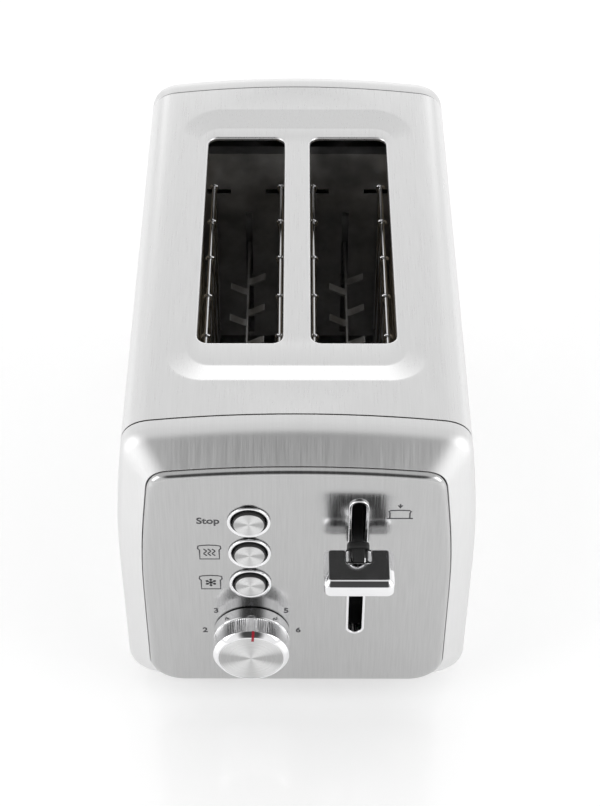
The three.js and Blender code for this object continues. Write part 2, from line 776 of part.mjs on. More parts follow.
function magnetCore() {
  let core = box(armatureX, armatureAlong, [basePlateTop + gap, coreTop]);
  const middle = (armatureX[0] + armatureX[1]) / 2;
  const windows = [
    [armatureX[0] + legWidth, middle - legWidth / 2],
    [middle + legWidth / 2, armatureX[1] - legWidth],
  ];
  for (const window of windows) {
    const along = [armatureAlong[0] - 1, armatureAlong[1] + 1];
    core = core.subtract(box(window, along, [basePlateTop + coreBack, coreTop + 1]));
  }
  return core;
}

function magnetCoil() {
  const middle = (armatureX[0] + armatureX[1]) / 2;
  const upright = [basePlateTop + coreBack + gap, coreTop - 2];
  const outerHalf = (armatureX[1] - armatureX[0]) / 2 - legWidth - gap;
  const outer = box(
    [middle - outerHalf, middle + outerHalf],
    [armatureAlong[0] - 3, armatureAlong[1] + 3],
    upright,
  );
  const innerHalf = legWidth / 2 + gap;
  const inner = box(
    [middle - innerHalf, middle + innerHalf],
    [armatureAlong[0] - gap, armatureAlong[1] + gap],
    [upright[0] - 1, upright[1] + 1],
  );
  return outer.subtract(inner);
}

const rodTop = wingZ + extraLift + 12;

function guideRod() {
  return rodZ(0, rodAxisY, rodRadius, [basePlateTop + gap, rodTop], 16);
}

function rodBracket() {
  const wallFront = frontBulkheadY - bulkheadThickness / 2 - gap;
  const wallLeg = box([-12, 12], [wallFront - 1.2, wallFront], [rodTop + gap, rodTop + 12]);
  const shelf = box([-12, 12], [rodAxisY - 6, wallFront], [rodTop + gap, rodTop + gap + 2]);
  return wallLeg.add(shelf);
}

// A coil spring round the guide rod, under the carriage's hub.
function liftSpring() {
  const turns = 7;
  const wire = 0.55;
  const coilRadius = 5.4;
  const bottom = basePlateTop + gap + wire;
  const top = wingZ - hubHeight - gap - wire;
  class Helix extends THREE.Curve {
    getPoint(t, target = new THREE.Vector3()) {
      const angle = 2 * Math.PI * turns * t;
      const [x, y] = [coilRadius * Math.cos(angle), rodAxisY + coilRadius * Math.sin(angle)];
      return target.set(x, y, bottom + (top - bottom) * t);
    }
  }
  const section = new THREE.Path().absarc(0, 0, wire, 0, 2 * Math.PI).getPoints(3).slice(0, -1);
  const options = { steps: turns * 8, extrudePath: new Helix(), bevelEnabled: false };
  return solid(new THREE.ExtrudeGeometry(shapeOf(section), options));
}

function leverStem() {
  const half = stemWidth / 2;
  const upright = [leverZ - stemHeight / 2, leverZ + stemHeight / 2];
  const blockBack = -faceY - leverBlock.standoff;
  const bar = box(
    [leverX - half, leverX + half],
    [blockBack - leverNotch.depth + gap, crossbarFront - gap],
    upright,
  );
  const collar = box(
    [leverX - stemWidth, leverX + stemWidth],
    [blockBack + gap, -faceY - 2.6],
    [leverZ - 4, leverZ + 4],
  );
  return bar.add(collar);
}

function leverKnob() {
  const bevel = 1.4;
  const back = -faceY - leverBlock.standoff;
  const half = leverBlock.width / 2 - bevel;
  const along = [back - leverBlock.depth + bevel, back - bevel];
  const outline = roundedRectangle([leverX - half, leverX + half], along, 2, 3);
  const geometry = new THREE.ExtrudeGeometry(shapeOf(outline), {
    depth: leverBlock.height - 2 * bevel,
    bevelSize: bevel,
    bevelThickness: bevel,
    bevelSegments: 3,
  });
  geometry.translate(0, 0, leverZ - leverBlock.height / 2 + bevel);
  const notchHalf = leverNotch.width / 2;
  const notch = roundedRectangle(
    [leverX - notchHalf, leverX + notchHalf],
    [back - leverNotch.depth, back + 4],
    1.5,
    2,
  );
  return solid(geometry).subtract(prismZ(notch, [leverZ - leverBlock.height, leverZ + leverBlock.height]));
}

// A rack runs through both bulkheads, with tabs that carry the slice on alternate sides.
function breadRack(side) {
  const x = side * slotX;
  const half = rackThickness / 2;
  const along = [crossbarBack + gap, rearBulkheadY + 4];
  let rack = box([x - half, x + half], along, [rackTopZ - rackHeight, rackTopZ]);
  for (const [hand, stagger] of [[sides.left, 0], [sides.right, tabStagger]]) {
    const tip = x + hand * tabReach;
    const profile = [
      new THREE.Vector2(x, rackTopZ - tabThickness),
      new THREE.Vector2(tip, rackTopZ + tabRise - tabThickness),
      new THREE.Vector2(tip, rackTopZ + tabRise),
      new THREE.Vector2(x, rackTopZ),
    ];
    for (let i = 0; i < tabPairs; i += 1) {
      const y = slotFrontY + firstTab + i * tabPitch + stagger;
      rack = rack.add(prismY(profile, [y - tabLength / 2, y + tabLength / 2]));
    }
  }
  return rack;
}

// ---------- Crumb tray and terminals ----------
const trayFront = frontBulkheadY + 3;

function crumbTray() {
  const half = trayWidth / 2;
  const along = [trayFront, faceY - 1];
  const pan = box([-half, half], along, [trayBottom, trayBottom + trayHeight]);
  const inside = box(
    [-half + sheet, half - sheet],
    [along[0] + sheet, along[1] - sheet],
    [trayBottom + sheet, trayBottom + trayHeight + 1],
  );
  return pan.subtract(inside);
}

// The handle clips over the tray's rear wall and closes its mouth from outside.
function trayHandle() {
  const half = trayWidth / 2 + 3;
  const middle = trayBottom + trayHeight / 2;
  const plate = roundedRectangle([-half, half], [middle - 5.5, middle + 5.5], 2.5, 3);
  const grip = roundedRectangle([-28, 28], [middle - 1.5, middle + 3], 1.5, 3);
  const neck = roundedRectangle([-40, 40], [middle - 1.5, middle + 1.5], 0.5, 2);
  const outer = faceY + gap;
  return union(
    prismY(plate, [outer, outer + 2]),
    prismY(grip, [outer + 1.5, faceY + trayHandleDepth]),
    prismY(neck, [faceY - 1 + gap, outer + 0.5]),
  );
}

// Mains terminals on the rear bulkhead's back, between the two racks' slots.
function terminalBlock() {
  const front = rearBulkheadY + bulkheadThickness / 2 + gap;
  const block = box([-14, 14], [front, front + 9], [glandZ - 6, glandZ + 6]);
  const riser = box([-11, 11], [front + 8, front + 14], [glandZ - 5, glandZ + 5]);
  return block.add(riser);
}

// ---------- Materials and assembly ----------
function finish(color, roughness, metalness) {
  return () => new THREE.MeshStandardMaterial({ color, roughness, metalness });
}

const satinSteel = finish(0xe4e4e2, 0.35, 1);
const brushedSteel = finish(0xbfbfbd, 0.4, 1);
const chrome = finish(0xf0f0f0, 0.08, 1);
const spunAluminium = finish(0xc8c8c8, 0.25, 1);
const blackPlastic = finish(0x151515, 0.5, 0);
const darkSteel = finish(0x6b6b69, 0.45, 1);
const mica = finish(0x8f8468, 0.6, 0);
const rubber = finish(0x202020, 0.9, 0);
const board = finish(0x1f5a33, 0.5, 0);
const copper = finish(0xb06a3a, 0.35, 1);

const toaster = new THREE.Group();

function place(name, manifold, material) {
  const mesh = new THREE.Mesh(geometryOf(manifold), material());
  mesh.name = name;
  toaster.add(mesh);
}

place('outer_shell', outerShell(), satinSteel);
place('front_end_cap', endCap(ends.front), brushedSteel);
place('rear_end_cap', endCap(ends.rear), brushedSteel);
place('control_panel', controlPanel(), brushedSteel);
place('rear_panel', rearPanel(), brushedSteel);
place('base_plate', basePlate(), blackPlastic);
for (const [endName, end] of Object.entries(ends)) {
  for (const [sideName, side] of Object.entries(sides)) {
    place(`foot_${endName}_${sideName}`, foot(side, end), rubber);
    place(`base_screw_${endName}_${sideName}`, baseScrew(side, end), darkSteel);
  }
}

place('lever_slot_trim', leverSlotTrim(), chrome);
for (const [i, name] of buttonNames.entries()) {
  const drop = buttonDrops[i];
  place(name, button(drop), spunAluminium);
  place(`${name}_ring`, buttonRing(drop), chrome);
  place(name.replace('button', 'switch'), switchBody(drop), blackPlastic);
}
place('browning_knob', browningKnob(), spunAluminium);
place('knob_shaft', knobShaft(), darkSteel);
place('potentiometer', potentiometer(), blackPlastic);
place('control_board', controlBoard(), board);
place('board_standoff_upper', boardStandoff(firstButtonDrop), blackPlastic);
place('board_standoff_lower', boardStandoff(knobDrop), blackPlastic);

place('front_bulkhead', bulkhead(ends.front), darkSteel);
place('rear_bulkhead', bulkhead(ends.rear), darkSteel);
for (const [sideName, side] of Object.entries(sides)) {
  const outerX = side * (slotOuterX + outerHeaterOffset);
  place(`${sideName}_reflector`, reflector(side), darkSteel);
  place(`${sideName}_heater`, heater(outerX, [side > 0, side < 0]), mica);
  place(`${sideName}_outer_guide`, breadGuide(side, 1), chrome);
  place(`${sideName}_inner_guide`, breadGuide(side, -1), chrome);
  place(`${sideName}_bread_rack`, breadRack(side), darkSteel);
}
place('centre_heater', heater(0, [true, true]), mica);

place('carriage_slider', carriageSlider(), blackPlastic);
place('lever_stem', leverStem(), blackPlastic);
place('lever_knob', leverKnob(), chrome);
place('armature', armature(), darkSteel);
place('guide_rod', guideRod(), chrome);
place('rod_bracket', rodBracket(), darkSteel);
place('lift_spring', liftSpring(), darkSteel);
place('magnet_core', magnetCore(), darkSteel);
place('magnet_coil', magnetCoil(), copper);

place('crumb_tray', crumbTray(), darkSteel);
place('crumb_tray_handle', trayHandle(), blackPlastic);
place('cord_gland', cordGland(), rubber);
place('terminal_block', terminalBlock(), blackPlastic);

const frontmost = faceY + leverBlock.standoff + leverBlock.depth;
const rearmost = faceY + trayHandleDepth;
toaster.position.y = (frontmost - rearmost) / 2;

export default toaster;
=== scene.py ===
import json
import math

import bpy
import bmesh
from mathutils import Matrix, Vector
from mathutils.geometry import delaunay_2d_cdt


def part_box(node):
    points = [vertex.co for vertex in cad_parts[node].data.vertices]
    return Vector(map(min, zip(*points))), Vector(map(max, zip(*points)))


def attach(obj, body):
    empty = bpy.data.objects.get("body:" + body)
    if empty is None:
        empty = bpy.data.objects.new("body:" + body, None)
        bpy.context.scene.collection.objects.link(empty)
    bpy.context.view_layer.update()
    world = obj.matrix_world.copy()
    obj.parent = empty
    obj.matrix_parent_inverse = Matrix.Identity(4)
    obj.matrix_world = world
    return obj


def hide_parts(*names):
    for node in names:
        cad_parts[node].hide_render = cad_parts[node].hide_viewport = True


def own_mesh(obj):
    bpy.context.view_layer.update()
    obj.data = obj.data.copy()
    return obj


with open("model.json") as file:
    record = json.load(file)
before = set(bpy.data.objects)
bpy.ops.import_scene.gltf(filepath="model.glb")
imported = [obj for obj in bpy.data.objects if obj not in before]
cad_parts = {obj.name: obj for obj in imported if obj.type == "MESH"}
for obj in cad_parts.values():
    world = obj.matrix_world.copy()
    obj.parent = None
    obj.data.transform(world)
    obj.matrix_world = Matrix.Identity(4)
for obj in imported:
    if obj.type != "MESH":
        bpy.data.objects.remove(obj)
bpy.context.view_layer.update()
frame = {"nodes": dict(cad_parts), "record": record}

# ---------- Places and sizes from the frame, in metres ----------
MM = 0.001
shell_lo, shell_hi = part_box("outer_shell")
cap_lo, cap_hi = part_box("front_end_cap")
rear_cap_lo, rear_cap_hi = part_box("rear_end_cap")
panel_lo, panel_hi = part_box("control_panel")
rear_panel_lo, rear_panel_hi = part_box("rear_panel")
front_wall_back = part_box("front_bulkhead")[1].y

BODY_HALF = shell_hi.x
BODY_TOP = shell_hi.z
BODY_BOTTOM = cap_lo.z

# ---------- Shape of the body's section, as the CAD model has it ----------
SHOULDER_INSET = 4.8 * MM
WAIST_Z = 80 * MM
CROWN_DROP = 4 * MM
CROWN_SPAN = 64 * MM
SHOULDER_RUN = 13.6 * MM
SHOULDER_FALL = 17 * MM
TOE_RADIUS = 15 * MM
SIDE_LEAN = 0.114
RADIUS_FADE = 0.3

SHEET = 0.8 * MM
BOTTOM_OPENING = 132 * MM        # between the shell's turned-in bottom edges
SEAM_EASE = 0.35 * MM            # the shell's edge is turned down this far short of the seam
LIP_EASE = 0.3 * MM              # the cap's lip reaches this much closer to the panel
CAP_WALL = 1.4 * MM
CAP_RIM = 8.3 * MM
CHAMFER_INSET = 11.5 * MM
PANEL_INSET = 12 * MM
PANEL_EDGE = 3 * MM
PANEL_SKIN = 2.4 * MM
SEAT_DEPTH = 5.2 * MM
SEAT_INSET = 15.2 * MM
PILLOW_WIDTH = 11 * MM           # soft border of the control panel's face
REAR_PILLOW = 1.2 * MM           # narrow, because the tray's mouth is close to the rear panel's edge
PILLOW_DROP = 0.45 * MM

# ---------- Bread slots and their recess ----------
SLOT_HALF = 19.5 * MM
SLOT_X = 26.1 * MM
SLOT_MARGIN = 5.4 * MM           # bulkhead to slot end at the front
SLOT_LENGTH = 155 * MM
SLOT_RADIUS = 5 * MM
SLOT_ROLL = 1.2 * MM             # radius of the rolled edge round a slot
RECESS_DEPTH = 5 * MM
FLOOR_RADIUS = 10 * MM
RIM_RADIUS = 20 * MM
FLOOR_MARGIN = {"side": 3.1 * MM, "front": 13.6 * MM, "rear": 6.3 * MM}
WALL_RUN = {"side": 11.3 * MM, "front": 16.4 * MM, "rear": 14.7 * MM}
FLANGE_DEPTH = 2 * MM

# ---------- Camera ----------
CAMERA_AT = (0.0001, -0.6602, 0.7302)
CAMERA_DOWN = 44.946             # degrees below the horizon
CAMERA_ROLL = -0.133
CAMERA_LENS = 80.3


# ---------- Outlines ----------
def polar(centre, radius, angle):
    """The point at a radius and an angle in radians from a centre."""
    return centre[0] + radius * math.cos(angle), centre[1] + radius * math.sin(angle)


def arc(centre, radius, start, stop, steps):
    """Points on an arc, with its angles in degrees."""
    turns = [start + (stop - start) * i / steps for i in range(steps + 1)]
    return [polar(centre, radius, math.radians(degrees)) for degrees in turns]


def bezier(controls, steps):
    """Points on a Bezier curve of any degree."""
    points = []
    for i in range(steps + 1):
        t = i / steps
        row = [Vector(control) for control in controls]
        while len(row) > 1:
            row = [a.lerp(b, t) for a, b in zip(row, row[1:])]
        points.append(tuple(row[0]))
    return points


def fillet(corners, steps, closed=False):
    """A line of (u, v, radius) corners with each corner rounded."""
    points = []
    count = len(corners)
    for i, (u, v, radius) in enumerate(corners):
        here = Vector((u, v))
        is_end = not closed and i in (0, count - 1)
        if radius <= 0 or is_end:
            points.append((u, v))
            continue
        before = Vector(corners[i - 1][:2]) - here
        after = Vector(corners[(i + 1) % count][:2]) - here
        reach = min(radius, before.length * 0.49, after.length * 0.49)
        start = here + before.normalized() * reach
        stop = here + after.normalized() * reach
        points.extend(bezier([start, here, stop], steps))
    return points


def crown_z(x):
    """Height of the crowned top at x."""
    return BODY_TOP - CROWN_DROP * (x / CROWN_SPAN) ** 2


def section_anchors(inset):
    """The body section's shoulder and crown corners at an inset."""
    shoulder_x = BODY_HALF - inset - SHOULDER_INSET
    fade = RADIUS_FADE * inset
    crown_x = shoulder_x - SHOULDER_RUN + fade
    crown_end_z = crown_z(crown_x) - inset
    side_top_z = BODY_TOP - inset - SHOULDER_FALL + fade
    slope = 2 * CROWN_DROP * crown_x / CROWN_SPAN ** 2
    across = shoulder_x - crown_x + SIDE_LEAN * side_top_z
    corner_z = (crown_end_z - slope * across) / (1 - slope * SIDE_LEAN)
    corner_x = shoulder_x - SIDE_LEAN * (corner_z - side_top_z)
    return (shoulder_x, side_top_z), (corner_x, corner_z), (crown_x, crown_end_z)


def side_outline(inset):
    """The section's right side from the bottom's edge up to the crown."""
    half = BODY_HALF - inset
    bottom = BODY_BOTTOM + inset
    shoulder, corner, crown_end = section_anchors(inset)
    reach = (shoulder[1] - WAIST_Z) * 0.4
    toe = arc((half - TOE_RADIUS, bottom + TOE_RADIUS), TOE_RADIUS, -90, 0, 14)
    side = bezier([
        (half, WAIST_Z),
        (half, WAIST_Z + reach),
        (shoulder[0] + SIDE_LEAN * reach, shoulder[1] - reach),
        shoulder,
    ], 14)
    return toe + side + bezier([shoulder, corner, crown_end], 16)[1:]


def body_outline(inset):
    """The whole section, counter-clockwise from the bottom's middle."""
    right = side_outline(inset)
    crown_end = right[-1]
    top = (0, BODY_TOP - inset)
    crown = bezier([crown_end, (crown_end[0] / 2, top[1]), top], 14)[1:]
    half = [(0, BODY_BOTTOM + inset)] + right + crown
    return half + [(-x, z) for x, z in reversed(half[1:-1])]


def rounded_rectangle(low, high, radius, steps=8):
    """Counter-clockwise points of a rectangle with round corners."""
    left, right = low[0] + radius, high[0] - radius
    bottom, top = low[1] + radius, high[1] - radius
    points = []
    for i, centre in enumerate(((right, bottom), (right, top), (left, top), (left, bottom))):
        points += arc(centre, radius, 90 * i - 90, 90 * i, steps)
    return points


def circle(centre, radius, steps):
    """Points round a circle, without a double at its start."""
    return arc(centre, radius, 0, 360 * (1 - 1 / steps), steps - 1)


def quarter(edge, steps):
    """Pairs of (drop, inset) round an edge of that radius, from its flat side to its upright side."""
    turns = [math.radians(90 - 90 * i / steps) for i in range(steps + 1)]
    return [(edge * (1 - math.sin(a)), edge * (1 - math.cos(a))) for a in turns]


def measure(node):
    """Lowest and highest corner of a CAD node, and the point halfway."""
    low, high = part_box(node)
    return low, high, (low + high) / 2


# ---------- Meshes ----------
def put(name, data):
    """A new object in the scene."""
    piece = bpy.data.objects.new(name, data)
    bpy.context.scene.collection.objects.link(piece)
    return piece


class Builder:
    """Gathers vertices and faces of one piece."""

    def __init__(self):
        """Starts with nothing."""
        self.verts = []
        self.faces = []

    def ring(self, points):
        """Adds points and gives back their numbers."""
        start = len(self.verts)
        self.verts.extend(tuple(point) for point in points)
        return list(range(start, len(self.verts)))

    def bridge(self, a, b, closed=True):
        """Joins two rows of points with faces."""
        count = len(a)
        for i in range(count if closed else count - 1):
            j = (i + 1) % count
            self.faces.append((a[i], a[j], b[j], b[i]))

    def loft(self, rings, closed=True, joined=False):
        """Bridges rings of points in turn, and the last to the first if joined."""
        rows = [self.ring(points) for points in rings]
        for a, b in zip(rows, rows[1:]):
            self.bridge(a, b, closed)
        if joined:
            self.bridge(rows[-1], rows[0], closed)
        return rows

    def solid(self, rings):
        """Bridges rings of points in turn and closes both ends."""
        rows = self.loft(rings)
        self.faces += [tuple(rows[0]), tuple(rows[-1])]

    def flat(self, outline, holes, place):
        """A flat region between an outline and its holes, with place turning (u, v) into a point."""
        points, edges = [], []
        for loop in [outline, *holes]:
            start = len(points)
            points.extend(Vector(point) for point in loop)
            count = len(loop)
            edges.extend((start + i, start + (i + 1) % count) for i in range(count))
        found = delaunay_2d_cdt(points, edges, [], 2 if not holes else 0, 1e-7)
        coords, faces = found[0], found[2]
        start = len(self.verts)
        self.verts.extend(place(u, v) for u, v in coords)
        for face in faces:
            middle = sum((coords[i] for i in face), Vector((0, 0))) / len(face)
            if inside(middle, outline) and not any(inside(middle, hole) for hole in holes):
                self.faces.append(tuple(start + i for i in face))

    def build(self, name, angle=35):
        """Makes the piece, smooth but for edges sharper than angle."""
        mesh = bpy.data.meshes.new(name)
        mesh.from_pydata(self.verts, [], self.faces)
        edit = bmesh.new()
        edit.from_mesh(mesh)
        bmesh.ops.remove_doubles(edit, verts=edit.verts, dist=1e-6)
        bmesh.ops.recalc_face_normals(edit, faces=edit.faces)
        edit.to_mesh(mesh)
        edit.free()
        mesh.shade_smooth()
        mesh.set_sharp_from_angle(angle=math.radians(angle))
        return put(name, mesh)


def inside(point, loop):
    """Whether a point is inside a closed loop."""
    found = False
    x, y = point[0], point[1]
    for (x0, y0), (x1, y1) in zip(loop, loop[1:] + loop[:1]):
        if (y0 > y) != (y1 > y) and x < (x1 - x0) * (y - y0) / (y1 - y0) + x0:
            found = not found
    return found


def turned(name, profile, centre, steps, axis="Y", closed=False):
    """A piece turned about an axis: profile is (radius, place along the axis)."""
    builder = Builder()
    rings = []
    for radius, along in profile:
        ring = []
        for i in range(steps):
            u, v = polar((0, 0), radius, 2 * math.pi * i / steps)
            if axis == "Y":
                ring.append((centre[0] + u, along, centre[2] + v))
            else:
                ring.append((centre[0] + u, centre[1] + v, along))
        rings.append(ring)
    builder.loft(rings, joined=closed)
    return builder.build(name)


def add(piece, body, slot):
    """Puts a piece on its body, in its slot."""
    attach(piece, body)
    piece.data.materials.clear()
    piece.data.materials.append(material_of(slot))
    return piece


def keep(piece, body, slot, *nodes):
    """Puts a piece on its body, in its slot, in the place of its CAD nodes."""
    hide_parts(*nodes)
    return add(piece, body, slot)


# ---------- Materials ----------
def fill(node, **values):
    """Sets inputs of a shader node, with _ for a space in their names."""
    for socket, value in values.items():
        node.inputs[socket.replace("_", " ")].default_value = value


class Shader:
    """A Principled material and short ways to wire nodes into it."""

    def __init__(self, name, **sockets):
        """Makes the material and sets some of its inputs."""
        self.material = bpy.data.materials.new(name)
        self.material.use_nodes = True
        self.tree = self.material.node_tree
        self.bsdf = self.tree.nodes["Principled BSDF"]
        fill(self.bsdf, **sockets)

    def node(self, kind, **settings):
        """A new node with its settings."""
        made = self.tree.nodes.new("ShaderNode" + kind)
        for setting, value in settings.items():
            setattr(made, setting, value)
        return made

    def link(self, source, target):
        """Wires an output to an input."""
        self.tree.links.new(source, target)

    def noise(self, scale, detail, stretch=(1, 1, 1)):
        """Noise in the object's own metres, pressed together along each axis by stretch."""
        place = self.node("TexCoord")
        mapping = self.node("Mapping")
        fill(mapping, Scale=stretch)
        noise = self.node("TexNoise")
        fill(noise, Scale=scale, Detail=detail)
        self.link(place.outputs["Object"], mapping.inputs["Vector"])
        self.link(mapping.outputs["Vector"], noise.inputs["Vector"])
        return noise.outputs["Fac"]

    def colours(self, source, low, high, span=(0.3, 0.7)):
        """A colour from low to high as source goes over span."""
        ramp = self.node("ValToRGB")
        ramp.color_ramp.elements[0].position = span[0]
        ramp.color_ramp.elements[1].position = span[1]
        ramp.color_ramp.elements[0].color = (*low, 1)
        ramp.color_ramp.elements[1].color = (*high, 1)
        self.link(source, ramp.inputs["Fac"])
        self.link(ramp.outputs["Color"], self.bsdf.inputs["Base Color"])

    def bump(self, source, strength, distance):
        """Relief of that depth in metres, as source says."""
        bump = self.node("Bump")
        fill(bump, Strength=strength, Distance=distance)
        self.link(source, bump.inputs["Height"])
        self.link(bump.outputs["Normal"], self.bsdf.inputs["Normal"])

    def roughness(self, source, low, high):
        """Roughness from low to high as source goes from 0.3 to 0.7."""
        scaled = self.node("MapRange")
        fill(scaled, From_Min=0.3, From_Max=0.7, To_Min=low, To_Max=high)
        self.link(source, scaled.inputs["Value"])
        self.link(scaled.outputs["Result"], self.bsdf.inputs["Roughness"])


def tint(level, share):
    """A grey or colour, made darker or lighter by a share."""
    return tuple(min(1.0, channel * share) for channel in level)


def brushed_metal(name, colour, rough, along, contrast=0.04, blur=0.0):
    """Brushed sheet: fine scratches along some axes, with reflections blurred across them by blur."""
    shader = Shader(name, Metallic=1.0, Anisotropic=blur)
    stretch = tuple(0.03 if axis in along else 1.0 for axis in "XYZ")
    scratches = shader.noise(1900, 2, stretch)
    shader.colours(scratches, tint(colour, 1 - contrast), tint(colour, 1 + contrast))
    shader.roughness(scratches, rough - 0.03, rough + 0.04)
    shader.bump(scratches, 0.02, 0.00005)
    if blur:
        across = shader.node("Tangent", direction_type="RADIAL", axis="Z")
        shader.link(across.outputs["Tangent"], shader.bsdf.inputs["Tangent"])
    return shader.material


def polished(name, colour, rough):
    """Plated metal with faint smudges."""
    shader = Shader(name, Metallic=1.0)
    smudges = shader.noise(90, 3)
    shader.colours(smudges, tint(colour, 0.97), tint(colour, 1.03))
    shader.roughness(smudges, rough, rough + 0.04)
    return shader.material


def spun_metal(name, colour, rough):
    """Turned face: fine rings round the piece's middle, with painted grey fans standing in for the
    reflections that the turned grooves spread.
    """
    shader = Shader(name, Metallic=1.0, Anisotropic=0.7)
    place = shader.node("TexCoord")
    centre = shader.node("VectorMath", operation="SUBTRACT")
    centre.inputs[1].default_value = (0.5, 0.5, 0.5)
    flat = shader.node("VectorMath", operation="MULTIPLY")
    flat.inputs[1].default_value = (1, 0, 1)
    outward = shader.node("VectorMath", operation="NORMALIZE")
    radius = shader.node("VectorMath", operation="LENGTH")
    parts = shader.node("SeparateXYZ")
    shader.link(place.outputs["Generated"], centre.inputs[0])
    shader.link(centre.outputs["Vector"], flat.inputs[0])
    shader.link(flat.outputs["Vector"], radius.inputs[0])
    shader.link(flat.outputs["Vector"], outward.inputs[0])
    shader.link(outward.outputs["Vector"], parts.inputs[0])

    def arithmetic(operation, first, second):
        """The result of one sum on two numbers or outputs."""
        made = shader.node("Math", operation=operation)
        for socket, value in zip(made.inputs, (first, second)):
            if isinstance(value, (int, float)):
                socket.default_value = value
            else:
                shader.link(value, socket)
        return made.outputs["Value"]

    # Painted reflection: grey fans darken the colour at the face's left and right, and more faintly at
    # its top and bottom, where a spun face reflects the dark room.
    painted_reflection_fans = []
    for axis, share in (("X", 1.0), ("Z", 0.45)):
        squared = arithmetic("POWER", parts.outputs[axis], 2)
        painted_reflection_fans.append(arithmetic("MULTIPLY", arithmetic("POWER", squared, 7), share))
    rings = shader.node("TexNoise", noise_dimensions="1D")
    fill(rings, Scale=70, Detail=3)
    shader.link(radius.outputs["Value"], rings.inputs["W"])
    grain = arithmetic("MULTIPLY", rings.outputs["Fac"], 0.5)
    shade = arithmetic("ADD", arithmetic("ADD", *painted_reflection_fans), grain)
    shader.colours(shade, tint(colour, 1.12), tint(colour, 0.66), (0.15, 1.1))
    shader.roughness(rings.outputs["Fac"], rough - 0.05, rough + 0.08)
    tangent = shader.node("Tangent", direction_type="RADIAL", axis="Y")
    shader.link(tangent.outputs["Tangent"], shader.bsdf.inputs["Tangent"])
    return shader.material


def moulded(name, colour, rough, scale=1800, strength=0.25):
    """Moulded plastic or rubber with a fine grain."""
    shader = Shader(name)
    grain = shader.noise(scale, 2)
    shader.colours(grain, tint(colour, 0.85), tint(colour, 1.2))
    shader.roughness(grain, rough - 0.06, rough + 0.08)
    shader.bump(grain, strength, 0.00008)
    return shader.material


def chamber_metal(name, colour, rough):
    """Dull plated steel with cloudy heat marks."""
    shader = Shader(name, Metallic=0.9)
    clouds = shader.noise(55, 5)
    shader.colours(clouds, tint(colour, 0.7), tint(colour, 1.35))
    shader.roughness(clouds, rough - 0.1, rough + 0.1)
    return shader.material


def mica_card(name):
    """Layered mica flakes."""
    shader = Shader(name, Metallic=0.0)
    flakes = shader.noise(240, 6, (1, 1, 0.4))
    shader.colours(flakes, (0.16, 0.13, 0.09), (0.36, 0.31, 0.23))
    shader.roughness(flakes, 0.35, 0.6)
    shader.bump(flakes, 0.2, 0.0002)
    return shader.material


def wound_wire(name):
    """Enamelled copper turns seen side by side."""
    shader = Shader(name, Metallic=0.8)
    turns = shader.noise(1600, 1, (0.02, 0.02, 1))
    shader.colours(turns, (0.3, 0.12, 0.05), (0.62, 0.3, 0.14))
    shader.roughness(turns, 0.25, 0.45)
    shader.bump(turns, 0.5, 0.0002)
    return shader.material


def ink():
    """Printed marks, and the ink's own faint grain."""
    return once("print_ink", moulded, (0.06, 0.06, 0.065), 0.5)


MADE = {}


def once(name, make, *settings):
    """The material of that name, made the first time it is asked for."""
    if name not in MADE:
        MADE[name] = make(name, *settings)
    return MADE[name]


MATERIALS = {
    "satin_steel": (brushed_metal, (0.77, 0.77, 0.77), 0.3, "Y", 0.02),
    "brushed_cap": (brushed_metal, (0.76, 0.76, 0.76), 0.45, "YZ", 0.02),
    "brushed_panel": (brushed_metal, (0.51, 0.51, 0.51), 0.18, "YZ", 0.04, 0.6),
    "chrome": (polished, (0.86, 0.86, 0.87), 0.04),
    "spun_aluminium": (spun_metal, (0.7, 0.7, 0.7), 0.3),
    "black_plastic": (moulded, (0.018, 0.018, 0.018), 0.42),
    "chamber_steel": (chamber_metal, (0.5, 0.5, 0.5), 0.42),
    "mica": (mica_card,),
    "rubber": (moulded, (0.03, 0.03, 0.03), 0.8, 1200, 0.4),
    "circuit_board": (moulded, (0.03, 0.14, 0.06), 0.4, 500, 0.1),
    "copper_winding": (wound_wire,),
}


def material_of(slot):
    """The material of a slot of the CAD model."""
    return once(slot, *MATERIALS[slot])


# ---------- Casing ----------
SLOT_FRONT = front_wall_back + SLOT_MARGIN
SLOT_REAR = SLOT_FRONT + SLOT_LENGTH
RECESS_FLOOR = BODY_TOP - RECESS_DEPTH

# Corners of the recess's wall: share of its run, share of its drop, and rounding.
RECESS_WALL = [(1.0, 0.0, 0), (0.9, 0.0, 0.09), (0.1, 1.0, 0.09), (0.0, 1.0, 0)]


def slot_outline(side, grow=0.0):
    """A bread slot's outline, moved out by grow."""
    low = (side * SLOT_X - SLOT_HALF - grow, SLOT_FRONT - grow)
    high = (side * SLOT_X + SLOT_HALF + grow, SLOT_REAR + grow)
    return rounded_rectangle(low, high, SLOT_RADIUS + grow)


def recess_outline(share):
    """An outline on the recess's wall, from its floor at 0 to its rim at 1."""
    half = SLOT_X + SLOT_HALF + FLOOR_MARGIN["side"] + share * WALL_RUN["side"]
    low = (-half, SLOT_FRONT - FLOOR_MARGIN["front"] - share * WALL_RUN["front"])
    high = (half, SLOT_REAR + FLOOR_MARGIN["rear"] + share * WALL_RUN["rear"])
    radius = FLOOR_RADIUS + share * (RIM_RADIUS - FLOOR_RADIUS)
    return rounded_rectangle(low, high, radius, 16)


